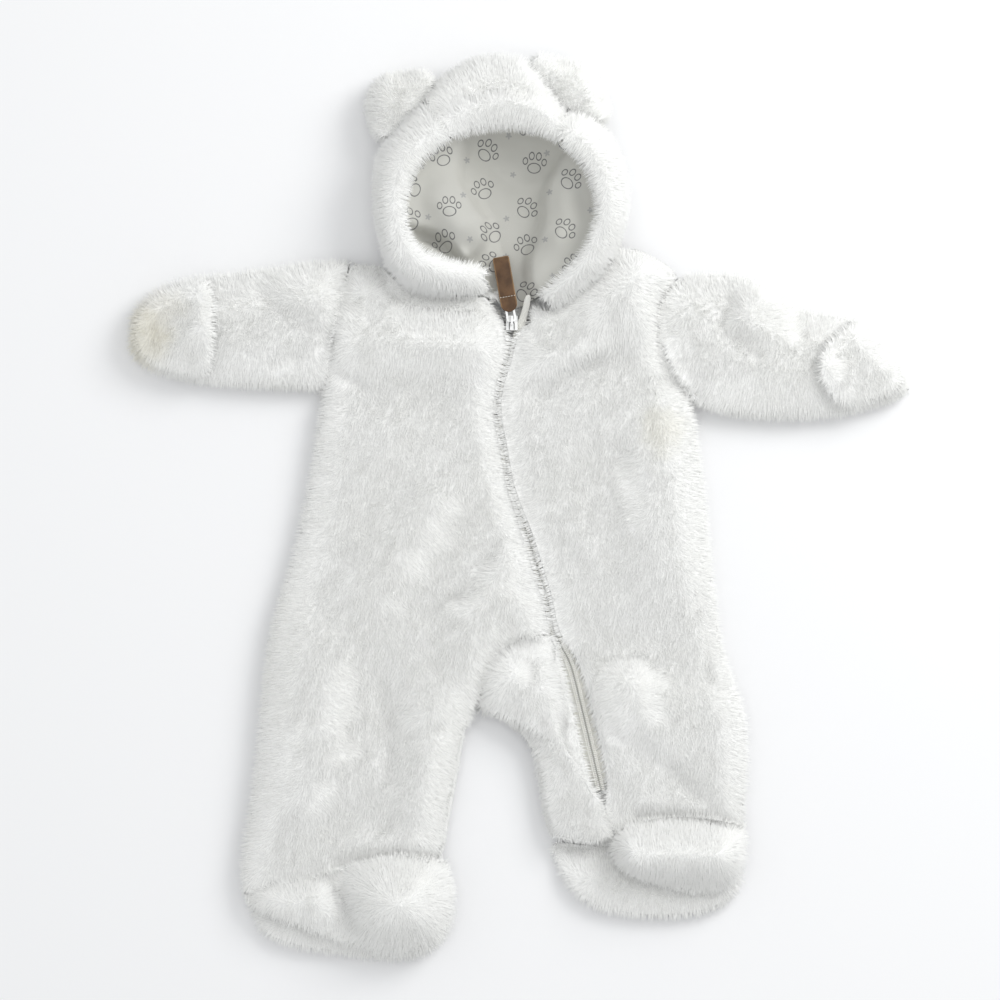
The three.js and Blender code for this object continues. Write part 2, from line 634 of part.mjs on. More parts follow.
function sole(edge, heelSeam, centre) {
  const seam = moved(spaced([...heelSeam].reverse(), 10), seamGap / 2);
  const outline = [...spaced(edge, 24).slice(0, -1), ...seam.slice(0, -1)];
  const under = (x, y) => Math.max(backUnder(x, y), soleTop(x, y) - plush - 0.5);
  return dish({ outline, centre, rings: [1, 0.96, 0.87, 0.7], top: soleTop, under });
}

function upper(ankle, freeEdge) {
  const free = spaced([...freeEdge].reverse(), 16);
  const low = (x, y) => soleFlat(x, y) + 1.5;
  const dome = (x, y) => {
    const puff = Math.max(thinnestFront + 2, seamHigh + loft + foldHeight(x, y, frontFolds));
    return low(x, y) + thinEdge + (puff - low(x, y) - thinEdge) * quarterRound(toLine(x, y, free), 13);
  };
  const grid = gridOf({ left: moved(spaced(ankle, 16), -seamGap), right: free, columns: 9, rightRim: true });
  return slab(grid, dome, (x, y) => Math.min(dome(x, y) - thinEdge, Math.max(low(x, y), dome(x, y) - plush)));
}

// Hood

function station(t) {
  const i = Math.min(hoodStations.length - 2, Math.floor(t));
  const f = t - i;
  const pick = (k) => hoodStations[Math.min(hoodStations.length - 1, Math.max(0, k))];
  const [a, b, c, d] = [pick(i - 1), pick(i), pick(i + 1), pick(i + 2)];
  const blended = {};
  for (const key of Object.keys(b)) {
    blended[key] =
      0.5 * (2 * b[key] + (c[key] - a[key]) * f + (2 * a[key] - 5 * b[key] + 4 * c[key] - d[key]) * f * f +
        (3 * b[key] - a[key] - 3 * c[key] + d[key]) * f ** 3);
  }
  return blended;
}

// The brim's section, from its turned-in lip over the crest to the foot: [share of the width, height]
function brimProfile({ crest, lip, valley }) {
  const fall = crest - backTop;
  return [
    [0.02, lip], [-0.02, mix(lip, crest, 0.4)], [0.07, mix(lip, crest, 0.76)], [0.2, crest - 1], [0.36, crest],
    [0.54, crest - 2 - valley], [0.7, crest - 0.14 * fall - 0.4 * valley], [0.84, crest - 0.32 * fall],
    [0.95, crest - 0.58 * fall], [1, crest - 0.82 * fall], [0.975, seamHigh],
  ];
}

function hoodPiece(from, to, rows) {
  const nudge = (seamGap / 2) / 24; // stations lie about 24 mm apart
  const sections = [];
  for (let i = 0; i <= rows; i++) {
    const s = station(mix(from + nudge, to - nudge, i / rows));
    const [dx, dy] = [s.outX - s.inX, s.outY - s.inY];
    const width = Math.hypot(dx, dy);
    const profile = brimProfile(s).map(([share, z]) => [share * width, z]);
    const wall = Math.min(plush, width * 0.26);
    const offset = moved(profile, -wall);
    offset[0][1] = s.lip;
    offset[offset.length - 1][1] = seamHigh;
    const place = ([r, z]) => [s.inX + (dx / width) * r, s.inY + (dy / width) * r, z];
    sections.push({ outer: profile.map(place), inner: offset.map(place) });
  }
  return loft3d(sections);
}

const hoodLast = hoodStations.length - 1;
const hoodRim = Array.from({ length: 45 }, (_, i) => {
  const s = station((i / 44) * hoodLast);
  return [mix(s.inX, s.outX, 0.985), mix(s.inY, s.outY, 0.985)];
});

function hoodBack() {
  const nape = [...spaced(napeRight, 8), ...spaced(napeLeft, 8).slice(1)].reverse();
  const rim = hoodRim.filter(([x, y]) => y > (x < 0 ? 188 : 201));
  const outline = [...rim, ...nape.slice(0, -1).map(([x, y]) => [x, y + hoodGap])];
  const loop = [...outline, outline[0]];
  return dish({
    outline,
    centre: [-14, 230],
    rings: [1, 0.97, 0.88],
    top: flatTop,
    under: (x, y) => rimLow * (1 - quarterRound(toLine(x, y, loop), rimLow)),
  });
}

const liningThick = 1.4;
const liningTuck = 5; // how far the lining goes in under the brim

function hoodLining() {
  const under = [];
  for (let i = 0; i <= 30; i++) {
    const s = station(mix(0.25, hoodLast - 0.45, i / 30));
    const width = Math.hypot(s.outX - s.inX, s.outY - s.inY);
    const tuck = Math.min(liningTuck, width * 0.2) / width;
    under.push([mix(s.inX, s.outX, tuck), mix(s.inY, s.outY, tuck), s.lip - 1]);
  }
  const neck = [[9, 154, 15], [3, 149.5, 12], [-5, 147, 11], [-13, 149.5, 12], [-20, 156, 14]];
  const edge = [...under, ...neck];
  const floor = backTop + layerGap + liningThick;
  const top = (x, y, ring, k) => {
    const slope = ring ** 5;
    const folds = foldHeight(x, y, liningFolds) * (1 - ring ** 8);
    return mix(floor + Math.max(0, folds), edge[k][2], slope);
  };
  return dish({
    outline: edge.map(([x, y]) => [x, y]),
    centre: [-12, 216],
    rings: [1, 0.94, 0.86, 0.76, 0.64, 0.5, 0.34, 0.16],
    top,
    under: (x, y, ring, k) => top(x, y, ring, k) - liningThick,
  });
}

// Ears are stuffed, so they are solid, with a flat underside
const earHigh = 34;
const earSeam = 14;
const earRightOutline = [
  [-102.5, 277], [-112, 283], [-118.5, 299], [-116, 314], [-106, 325.5], [-91, 328.5], [-77, 326], [-69.5, 319.5],
  [-72, 308], [-87, 292], [-95, 283.5],
];
const earLeftOutline = [
  [59.8, 289.2], [65.5, 299], [66, 313.5], [58.5, 326.5], [47.5, 335.5], [32.5, 338.5], [18.5, 337], [11, 333.2],
  [16.4, 321.2], [25.8, 306.7], [40.2, 297.7],
];

function ear(points, centre) {
  const outline = closedLine(points, 26);
  const loop = [...outline, outline[0]];
  const fat = (x, y) => quarterRound(toLine(x, y, loop) + 0.4, 21);
  return dish({
    outline,
    centre,
    rings: [1, 0.95, 0.84, 0.66, 0.38],
    top: (x, y) => earSeam + (earHigh - earSeam) * fat(x, y),
    under: (x, y) => earSeam * (1 - quarterRound(toLine(x, y, loop) + 0.2, 13)),
  });
}

// Zip

// A strip along a line, as wide as asked for at each height y, and raised where asked
function strip(line, wide, low, high, raised = () => 0) {
  const left = moved(line, (y) => wide(y) / 2);
  const right = moved(line, (y) => -wide(y) / 2);
  return slab(left.map((l, i) => [l, right[i]]), (x, y) => high + raised(y), (x, y) => low + raised(y));
}

const zipped = zipPoints.filter(([, y]) => y > zipEnd);
const tapeLine = (side) => moved(zipped, side * (tapeWide / 2 + 0.3));
const zipTapeRight = () => strip(tapeLine(-1), () => tapeWide - 0.2, tapeLow, tapeHigh);
const zipChain = () => strip(zipped.filter(([, y]) => y < zipTop - 6), () => teethWide, teethLow, teethHigh);

// The left tape's end stands free above the slider
function zipTapeLeft() {
  const tail = [[6.2, 158], [4.4, 149], [1.8, 140]];
  const wide = (y) => mix(tapeWide - 0.2, 5.5, clamp01((y - zipTop) / 9));
  return strip([...tail, ...tapeLine(1)], wide, tapeLow, tapeHigh, (y) => Math.max(0, y - 142) * 0.42);
}

const sliderAt = [-6.6, 136];
const sliderWide = 8.6;
const sliderLong = 11;
const sliderTop = 17.6;

function zipSlider() {
  const [x, y] = sliderAt;
  const plates = [
    boxAt(sliderWide, sliderLong, 1.8, x, y, sliderTop - 0.9),
    boxAt(sliderWide, sliderLong, 1.8, x, y, 10.1),
    boxAt(2.4, 4, 8, x, y + sliderLong / 2 - 2, 13.2),
  ];
  const flanges = [-1, 1].map((side) => boxAt(0.8, sliderLong, 3.6, x + side * (sliderWide / 2 - 0.4), y, 14.8));
  const bridge = [
    boxAt(1.6, 1.4, 3.2, x, y + 4.2, sliderTop + 1.5),
    boxAt(1.6, 1.4, 3.2, x, y - 1.2, sliderTop + 1.5),
    boxAt(1.6, 6.8, 1.2, x, y + 1.5, sliderTop + 3.6),
  ];
  return fused(...plates, ...flanges, ...bridge);
}

// The link hangs in the slider's bridge, and the leather tab is folded and stitched round its far bar
const linkTurn = THREE.MathUtils.degToRad(10);
const pivot = [sliderAt[0], sliderAt[1] + 1.5, sliderTop + 1.7];
const linkThick = 1.4;
const linkWide = 7.4;
const linkLong = 12;

function placedPull(geometry) {
  return geometry.rotateZ(linkTurn).translate(...pivot);
}

function roundedPlate(wide, from, to, thick, radius, z) {
  const half = wide / 2;
  const shape = new THREE.Shape();
  shape.moveTo(-half, from + radius);
  shape.absarc(-half + radius, to - radius, radius, Math.PI, Math.PI / 2, true);
  shape.absarc(half - radius, to - radius, radius, Math.PI / 2, 0, true);
  shape.absarc(half - radius, from + radius, radius, 0, -Math.PI / 2, true);
  shape.absarc(-half + radius, from + radius, radius, -Math.PI / 2, -Math.PI, true);
  const options = { depth: thick, bevelEnabled: false, curveSegments: 3 };
  return new THREE.ExtrudeGeometry(shape, options).translate(0, 0, z);
}

function zipLink() {
  const plate = solidOf(roundedPlate(linkWide, -0.8, linkLong, linkThick, 1.8, -linkThick / 2));
  const hole = solidOf(roundedPlate(linkWide - 3.4, 0.8, linkLong - 2, 2 * linkThick, 1.2, -linkThick));
  return placedPull(geometryFrom(plate.subtract(hole)));
}

const tabWide = 12.5;
const tabLong = 43;
const tabThick = 3.2;
const tabStart = linkLong - 4.2; // inside the link's hole

function pullTab() {
  const body = solidOf(roundedPlate(tabWide, tabStart, tabStart + tabLong, tabThick, 4.5, -tabThick / 2));
  const slot = solidOf(boxAt(linkWide + 1.2, 6.4, linkThick + 1.2, 0, tabStart + 3.4, 0));
  const strapHole = body.subtract(slot);
  const notch = solidOf(boxAt(20, 3, 6, 0, tabStart + 0.2, 0));
  return placedPull(geometryFrom(strapHole.subtract(notch)));
}

// Materials, one for each finish
const finishes = {
  plush: new THREE.MeshStandardMaterial({ color: 0xf2f1ec, roughness: 0.95, metalness: 0 }),
  lining: new THREE.MeshStandardMaterial({ color: 0xe9e8dd, roughness: 0.9, metalness: 0 }),
  tape: new THREE.MeshStandardMaterial({ color: 0xf0efe4, roughness: 0.8, metalness: 0 }),
  teeth: new THREE.MeshStandardMaterial({ color: 0xf4f3ea, roughness: 0.45, metalness: 0 }),
  enamel: new THREE.MeshStandardMaterial({ color: 0xf7f7f4, roughness: 0.3, metalness: 0.2 }),
  leather: new THREE.MeshStandardMaterial({ color: 0x7a5530, roughness: 0.6, metalness: 0 }),
};

const pieces = {
  back_right: [backRight(), "plush"],
  back_left: [backLeft(), "plush"],
  front_right: [frontRight(), "plush"],
  front_left: [frontLeft(), "plush"],
  gusset_left: [gussetLeft(), "plush"],
  sleeve_right: [sleeve(sleeveRightTop, sleeveRightLow, armholeRight, -1), "plush"],
  sleeve_left: [sleeve(sleeveLeftTop, sleeveLeftLow, armholeLeft, 1), "plush"],
  mitt_right: [mitt(mittRightOutline, [-261, 131]), "plush"],
  mitt_left: [mitt(mittLeftOutline, [256, 104]), "plush"],
  sole_right: [sole(footRightEdge, solesTopRight, [-126, -306]), "plush"],
  sole_left: [sole(footLeftEdge, solesTopLeft, [96, -276]), "plush"],
  foot_right: [upper(ankleRight, freeRight), "plush"],
  foot_left: [upper(ankleOuterLeft, freeLeft), "plush"],
  hood_back: [hoodBack(), "plush"],
  hood_side_right: [hoodPiece(0, crownFrom, 18), "plush"],
  hood_crown: [hoodPiece(crownFrom, crownTo, 11), "plush"],
  hood_side_left: [hoodPiece(crownTo, hoodLast, 18), "plush"],
  hood_lining: [hoodLining(), "lining"],
  ear_right: [ear(earRightOutline, [-94, 304]), "plush"],
  ear_left: [ear(earLeftOutline, [41, 318]), "plush"],
  zip_tape_right: [zipTapeRight(), "tape"],
  zip_tape_left: [zipTapeLeft(), "tape"],
  zip_chain: [zipChain(), "teeth"],
  zip_slider: [zipSlider(), "enamel"],
  zip_link: [zipLink(), "enamel"],
  pull_tab: [pullTab(), "leather"],
};

const suit = new THREE.Group();
suit.name = "snowsuit";
for (const [name, [geometry, finish]] of Object.entries(pieces)) {
  const mesh = new THREE.Mesh(geometry, finishes[finish]);
  mesh.name = name;
  suit.add(mesh);
}

// The origin is under the middle of the whole
const box = new THREE.Box3().setFromObject(suit);
suit.position.set(-(box.min.x + box.max.x) / 2, -(box.min.y + box.max.y) / 2, 0);

export default suit;
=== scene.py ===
# A baby's plush snowsuit laid flat on its back, dressed over its solids. Metres, with the hood towards +Y
# and the wearer's right side towards -X. Sizes in the dictionaries are millimetres unless a note says so.
import math

import bmesh
import bpy
import numpy as np
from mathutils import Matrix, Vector
from mathutils.bvhtree import BVHTree


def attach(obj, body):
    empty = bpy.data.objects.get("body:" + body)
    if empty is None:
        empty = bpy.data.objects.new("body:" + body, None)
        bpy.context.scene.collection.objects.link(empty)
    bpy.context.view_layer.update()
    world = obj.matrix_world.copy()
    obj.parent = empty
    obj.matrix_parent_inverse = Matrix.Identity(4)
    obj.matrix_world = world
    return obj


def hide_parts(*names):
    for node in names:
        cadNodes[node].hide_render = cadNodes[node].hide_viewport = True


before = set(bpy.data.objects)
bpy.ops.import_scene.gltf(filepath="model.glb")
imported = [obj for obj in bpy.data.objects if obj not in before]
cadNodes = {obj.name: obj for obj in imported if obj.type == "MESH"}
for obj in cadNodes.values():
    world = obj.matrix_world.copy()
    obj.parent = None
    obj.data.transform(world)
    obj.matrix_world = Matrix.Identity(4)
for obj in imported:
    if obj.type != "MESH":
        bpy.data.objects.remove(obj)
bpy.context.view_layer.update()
scene = bpy.context.scene


# Camera, floor and light

studio = {
    "aim": (-15.5, 3.0, 12.0),  # the point in the middle of the picture
    "elevation": 86.0,  # degrees above the floor, seen from the feet
    "distance": 2600.0,
    "fieldWide": 752.0,  # what the picture spans at the aim
    "floorGrey": 0.90,
    "worldLight": 0.68,
    "lamps": [  # place, size, watts
        ("windowLight", (1300, 1000, 1300), 1100, 21.0),
        ("ceilingLight", (-200, 0, 2600), 1800, 11.0),
    ],
}


def buildStudio():
    aim = Vector(studio["aim"]) / 1000
    tilt = math.radians(studio["elevation"])
    reach = studio["distance"] / 1000
    camera = bpy.data.objects.new("camera", bpy.data.cameras.new("camera"))
    scene.collection.objects.link(camera)
    camera.location = aim + Vector((0, -math.cos(tilt), math.sin(tilt))) * reach
    camera.rotation_euler = (math.pi / 2 - tilt, 0, 0)
    camera.data.sensor_width = 36
    camera.data.lens = 36 * studio["distance"] / studio["fieldWide"]
    camera.data.clip_end = 50
    scene.camera = camera

    for name, place, size, watts in studio["lamps"]:
        lamp = bpy.data.objects.new(name, bpy.data.lights.new(name, "AREA"))
        lamp.data.size = size / 1000
        lamp.data.energy = watts
        lamp.location = Vector(place) / 1000
        lamp.rotation_euler = (-lamp.location).to_track_quat("-Z", "Y").to_euler()
        scene.collection.objects.link(lamp)

    world = bpy.data.worlds.new("softRoom")
    world.use_nodes = True
    sky = world.node_tree.nodes["Background"].inputs
    sky["Color"].default_value = (0.97, 0.985, 1, 1)
    sky["Strength"].default_value = studio["worldLight"]
    scene.world = world
    scene.view_settings.view_transform = "Standard"


# Shader maths as plain expressions

class Wire:  # a node's output, with the operators that the materials use
    def __init__(self, shader, socket):
        self.shader = shader
        self.socket = socket

    def __add__(self, other):
        return self.shader.maths("ADD", self, other)

    def __sub__(self, other):
        return self.shader.maths("SUBTRACT", self, other)

    def __mul__(self, other):
        return self.shader.maths("MULTIPLY", self, other)

    def __truediv__(self, other):
        return self.shader.maths("DIVIDE", self, other)

    def __rsub__(self, other):
        return self.shader.maths("SUBTRACT", other, self)


class Shader:  # one material and its nodes
    def __init__(self, name, **constants):
        self.material = bpy.data.materials.new(name)
        self.material.use_nodes = True
        self.tree = self.material.node_tree
        self.surface = self.tree.nodes["Principled BSDF"]
        for socket, value in constants.items():
            self.surface.inputs[socket.replace("_", " ")].default_value = value

    def node(self, kind, settings=None, sockets=None, out=0):
        made = self.tree.nodes.new(kind)
        for name, value in (settings or {}).items():
            setattr(made, name, value)
        for key, value in (sockets or {}).items():
            if isinstance(value, Wire):
                self.tree.links.new(value.socket, made.inputs[key])
            else:
                made.inputs[key].default_value = value
        return Wire(self, made.outputs[out])

    def maths(self, operation, *values):
        return self.node("ShaderNodeMath", {"operation": operation}, dict(enumerate(values)))

    def vector(self, operation, *values, out=0):
        return self.node("ShaderNodeVectorMath", {"operation": operation}, dict(enumerate(values)), out)

    def step(self, value, low, high):  # 0 at low, 1 at high, smooth between
        settings = {"interpolation_type": "SMOOTHSTEP"}
        return self.node("ShaderNodeMapRange", settings, {"Value": value, "From Min": low, "From Max": high})

    def mix(self, factor, a, b):  # colours
        sockets = {0: factor, 6: a, 7: b}
        return self.node("ShaderNodeMix", {"data_type": "RGBA"}, sockets, out=2)

    def noise(self, place, scale, detail=2.0, out=0):
        sockets = {"Vector": place, "Scale": scale, "Detail": detail}
        return self.node("ShaderNodeTexNoise", None, sockets, out=out)

    def place(self):
        return self.node("ShaderNodeTexCoord", out="Object")

    def axes(self, vector):
        split = self.tree.nodes.new("ShaderNodeSeparateXYZ")
        self.tree.links.new(vector.socket, split.inputs[0])
        return [Wire(self, output) for output in split.outputs]

    def set(self, socket, wire):
        self.tree.links.new(wire.socket, self.surface.inputs[socket])

    def bump(self, height, distance, strength=1.0):
        sockets = {"Height": height, "Distance": distance, "Strength": strength}
        self.set("Normal", self.node("ShaderNodeBump", None, sockets))


def tone(red, green, blue):
    return (red, green, blue, 1)


def tinted(s, place, clean, spots):
    # a clean colour with soft stains: each spot is (x, y, size) in millimetres, its strength and its colour
    colour = clean
    for (x, y, size), strength, stain in spots:
        flat = s.vector("MULTIPLY", place, (1, 1, 0))
        away = s.vector("DISTANCE", flat, (x / 1000, y / 1000, 0), out="Value")
        ragged = away + (s.noise(place, 45.0) - 0.5) * 0.03
        colour = s.mix(s.step(ragged, size / 1000, size * 0.25 / 1000) * strength, colour, stain)
    return colour


stains = [  # wear at the cuff, and a faint mark on the chest
    ((-288, 122, 34), 0.42, tone(0.80, 0.76, 0.62)),
    ((-272, 146, 26), 0.2, tone(0.84, 0.80, 0.68)),
    ((104, 56, 24), 0.16, tone(0.86, 0.82, 0.66)),
]


def pileMaterial():
    s = Shader("plushPile", Roughness=0.85, Sheen_Weight=0.1, Sheen_Roughness=0.5, Specular_IOR_Level=0.1)
    place = s.place()
    patch = s.step(s.noise(place, 14.0, 3.0), 0.35, 0.7)
    clean = s.mix(patch, tone(0.955, 0.955, 0.935), tone(0.975, 0.975, 0.96))
    s.set("Base Color", tinted(s, place, clean, stains))
    return s.material


def backingMaterial():
    s = Shader("plushBacking", Roughness=0.95, Sheen_Weight=0.3, Sheen_Roughness=0.6, Specular_IOR_Level=0.15)
    place = s.place()
    tuft = s.noise(place, 420.0, 3.0)
    clean = s.mix(tuft, tone(0.80, 0.80, 0.785), tone(0.87, 0.87, 0.855))
    s.set("Base Color", tinted(s, place, clean, stains))
    s.bump(s.noise(place, 260.0, 4.0), 0.0014, 0.8)
    return s.material


printed = {
    "cell": 31.0,  # from one motif to the next
    "pawSize": 17.5,
    "line": 0.48,
    "star": 2.4,  # from its middle to a point
    "pads": [  # middle and half width and height of each, in a paw 15 wide
        (0, -3.0, 4.1, 3.1), (-6.1, 1.0, 1.5, 2.0), (-2.3, 4.4, 1.6, 2.2),
        (2.3, 4.4, 1.6, 2.2), (6.1, 1.0, 1.5, 2.0),
    ],
}


def liningMaterial():
    # an outlined paw in each cell of a half-drop layout, turned and moved a little, with small stars between
    s = Shader("printedJersey", Roughness=0.9, Sheen_Weight=0.15, Sheen_Roughness=0.5, Specular_IOR_Level=0.2)
    place = s.place()
    x, y, _ = s.axes(place)

    def lattice(shiftX, shiftY, loose):
        cell = printed["cell"]
        u = (x * 1000 + shiftX) / cell
        column = s.maths("FLOOR", u)
        v = (y * 1000 + shiftY) / cell + s.maths("FLOORED_MODULO", column, 2.0) * 0.5
        row = s.maths("FLOOR", v)
        cellId = s.node("ShaderNodeCombineXYZ", None, {0: column, 1: row})
        luck = s.node("ShaderNodeTexWhiteNoise", {"noise_dimensions": "3D"}, {"Vector": cellId}, out="Color")
        luckA, luckB, luckC = s.axes(luck)
        across = (u - column - 0.5 + (luckA - 0.5) * loose) * cell
        along = (v - row - 0.5 + (luckB - 0.5) * loose) * cell
        turn = (luckC - 0.5) * 2.4
        cosine, sine = s.maths("COSINE", turn), s.maths("SINE", turn)
        return across * cosine + along * sine, along * cosine - across * sine

    def oval(px, py, cx, cy, rx, ry):  # distance from the oval's line, in millimetres
        dx, dy = (px - cx) / rx, (py - cy) / ry
        return s.maths("ABSOLUTE", s.maths("SQRT", dx * dx + dy * dy) - 1) * min(rx, ry)

    px, py = lattice(9.0, 8.0, 0.3)
    k = printed["pawSize"] / 15
    nearest = None
    for cx, cy, rx, ry in printed["pads"]:
        away = oval(px, py, cx * k, cy * k, rx * k, ry * k)
        nearest = away if nearest is None else s.maths("MINIMUM", nearest, away)
    paw = s.step(nearest, printed["line"], printed["line"] * 0.35)

    sx, sy = lattice(9.0 + printed["cell"] / 2, 8.0 + printed["cell"] / 4, 0.24)
    around = s.maths("ARCTAN2", sy, sx)
    spike = s.maths("POWER", s.maths("ABSOLUTE", s.maths("COSINE", around * 2.5)), 1.6)
    radius = s.maths("SQRT", sx * sx + sy * sy)
    star = s.step(radius - spike * printed["star"] * 0.6, printed["star"] * 0.5, printed["star"] * 0.36)

    worn = s.step(s.noise(place, 900.0), 0.2, 0.5)
    cloth = s.mix(s.noise(place, 30.0), tone(0.55, 0.545, 0.50), tone(0.61, 0.605, 0.565))
    cloth = s.mix(star * 0.75, cloth, tone(0.36, 0.36, 0.36))
    s.set("Base Color", s.mix(paw * (worn * 0.35 + 0.5), cloth, tone(0.07, 0.07, 0.08)))
    knitSockets = {"Vector": place, "Scale": 620.0, "Distortion": 1.5}
    knit = s.node("ShaderNodeTexWave", {"bands_direction": "X"}, knitSockets)
    s.bump(knit * 0.6 + s.noise(place, 60.0, 3.0), 0.0006, 0.5)
    return s.material


def tapeMaterial():
    s = Shader("zipTape", Roughness=0.8, Sheen_Weight=0.1, Specular_IOR_Level=0.3)
    place = s.place()
    turned = s.node("ShaderNodeMapping", None, {"Vector": place, "Rotation": (0, 0, 0.28)})
    weave = s.node("ShaderNodeTexWave", {"bands_direction": "DIAGONAL"}, {"Vector": turned, "Scale": 380.0})
    s.set("Base Color", s.mix(weave, tone(0.88, 0.87, 0.81), tone(0.95, 0.945, 0.90)))
    s.bump(weave, 0.0004, 0.7)
    return s.material


def coilMaterial():
    s = Shader("nylonCoil", Roughness=0.42, Specular_IOR_Level=0.5)
    s.set("Base Color", s.mix(s.noise(s.place(), 300.0), tone(0.91, 0.90, 0.84), tone(0.96, 0.955, 0.92)))
    return s.material


def enamelMaterial():
    s = Shader("whiteEnamel", Roughness=0.28, Coat_Weight=0.4, Coat_Roughness=0.15)
    place = s.place()
    chip = s.step(s.noise(place, 700.0, 4.0), 0.66, 0.74)
    s.set("Base Color", s.mix(chip * 0.35, tone(0.9, 0.9, 0.89), tone(0.5, 0.5, 0.5)))
    s.bump(s.noise(place, 500.0), 0.0001, 0.25)
    return s.material


# painted shade: nearly black, standing for the shaded gap of the slider's slot
def slotShadeMaterial():
    s = Shader("paintedSlotShade", Roughness=0.6)
    s.set("Base Color", s.mix(s.noise(s.place(), 900.0), tone(0.02, 0.02, 0.02), tone(0.09, 0.09, 0.085)))
    return s.material


def threadMaterial():
    s = Shader("sewingThread", Roughness=0.6)
    s.set("Base Color", s.mix(s.noise(s.place(), 1500.0), tone(0.74, 0.72, 0.64), tone(0.88, 0.87, 0.8)))
    return s.material


pull = {
    "pivot": (-6.6, 137.85, 19.3),
    "turn": 10.0,  # degrees, the far end towards the wearer's right
    "start": 6.8,  # from the pivot to the tab's near end
    "long": 42.2,
    "wide": 12.5,
    "thick": 3.2,
    "corner": 1.7,  # radius at the square far end; the near end is a half round
    "edge": 0.55,
    "stitchFrom": 11.5,  # from the round end to the sewn line
    "stitch": 1.8,
    "thread": (0.5, 1.4, 0.45),  # a stitch's width, length and height
}

slider = {
    "edge": 0.35,
    "wireEdge": 0.3,
    "face": (-6.6, 134.2, 17.75),  # the middle of the dark outline, which is painted shade for the slot's gap
    "slotWide": 3.6,
    "slotLong": 6.0,
    "slotShadeLine": 0.6,
}


def alongPull(x, y):  # how far across and along the pull a place is
    turn = math.radians(pull["turn"])
    return x * math.cos(turn) + y * math.sin(turn), y * math.cos(turn) - x * math.sin(turn)


def leatherMaterial():
    # brown in the middle, darker where it is handled, pale where the skin is cut
    s = Shader("waxedLeather", Roughness=0.55, Specular_IOR_Level=0.4)
    place = s.place()
    x, y, _ = s.axes(s.vector("SUBTRACT", place, Vector(pull["pivot"]) / 1000))
    across, along = [side * 1000 for side in alongPull(x, y)]
    sockets = {"Vector": place, "Scale": 1300.0}
    cells = s.node("ShaderNodeTexVoronoi", {"feature": "DISTANCE_TO_EDGE"}, sockets)
    grain = s.step(cells, 0.0, 0.25)
    cloud = s.noise(place, 110.0, 4.0)
    brown = s.mix(s.step(cloud, 0.35, 0.65), tone(0.088, 0.044, 0.018), tone(0.150, 0.078, 0.034))
    edge = s.step(s.maths("ABSOLUTE", across), pull["wide"] / 2 - 1.2, pull["wide"] / 2 - 0.3)
    far = pull["start"] + pull["long"]
    tip = s.step(along, far - 1.0, far - 0.2)
    pale = s.maths("MAXIMUM", edge, tip) * (cloud * 0.8 + 0.35)
    handled = s.step(s.maths("ABSOLUTE", along - pull["start"] - pull["long"] * 0.62), 15.0, 4.0)
    brown = s.mix(handled * 0.4, brown, tone(0.058, 0.028, 0.012))
    s.set("Base Color", s.mix(pale * 0.75, brown, tone(0.42, 0.26, 0.13)))
    s.set("Roughness", 0.62 - grain * 0.14)
    s.bump(grain * 0.6 + cloud * 0.5, 0.00025, 0.7)
    return s.material


def floorMaterial():
    s = Shader("paleFloor", Roughness=0.9, Specular_IOR_Level=0.1)
    grey = studio["floorGrey"]
    worn = tone(grey - 0.006, grey - 0.006, grey)
    s.set("Base Color", s.mix(s.noise(s.place(), 3.0), tone(grey, grey, grey), worn))
    return s.material


# Meshes

def newObject(name, mesh, material=None):
    made = bpy.data.objects.new(name, mesh)
    scene.collection.objects.link(made)
    if material:
        mesh.materials.clear()
        mesh.materials.append(material)
    return made


def mergedMesh(node, squares=True):  # a CAD node's triangles joined into one closed mesh
    work = bmesh.new()
    work.from_mesh(cadNodes[node].data)
    bmesh.ops.remove_doubles(work, verts=work.verts, dist=2e-5)
    if squares:
        bmesh.ops.join_triangles(work, faces=work.faces, angle_face_threshold=1.0, angle_shape_threshold=1.3)
    mesh = bpy.data.meshes.new(node + "Merged")
    work.to_mesh(mesh)
    work.free()
    return mesh


def applied(made):  # the object's mesh with its modifiers carried out
    mesh = bpy.data.meshes.new_from_object(made.evaluated_get(bpy.context.evaluated_depsgraph_get()))
    made.modifiers.clear()
    made.data = mesh
    return made


def subdivided(made, levels):
    smoother = made.modifiers.new("smoother", "SUBSURF")
    smoother.levels = smoother.render_levels = levels
    return applied(made)


def numbersOf(items, key, width=3):
    flat = np.empty(len(items) * width, dtype=np.float32)
    items.foreach_get(key, flat)
    return flat.astype(float).reshape(-1, width) if width > 1 else flat.astype(float)


def pointsOf(mesh):
    return numbersOf(mesh.vertices, "co")


def normalsOf(mesh):
    return numbersOf(mesh.vertex_normals, "vector")


def setPoints(mesh, points):
    mesh.vertices.foreach_set("co", points.astype(np.float32).ravel())
    mesh.update()


def setValue(mesh, name, values, domain="POINT"):  # a number or a vector at each vertex or face
    kind = "FLOAT_VECTOR" if values.ndim == 2 else "FLOAT"
    layer = mesh.attributes.get(name) or mesh.attributes.new(name, kind, domain)
    layer.data.foreach_set("vector" if values.ndim == 2 else "value", values.astype(np.float32).ravel())


def valueOf(mesh, name):
    return numbersOf(mesh.attributes[name].data, "value", 1)


def vectorOf(mesh, name):
    return numbersOf(mesh.attributes[name].data, "vector")


def mostAround(mesh, name):  # at each vertex, the highest value of the faces that meet there
    values = valueOf(mesh, name)
    most = np.zeros(len(mesh.vertices))
    for face, value in zip(mesh.polygons, values):
        corners = list(face.vertices)
        most[corners] = np.maximum(most[corners], value)
    return most


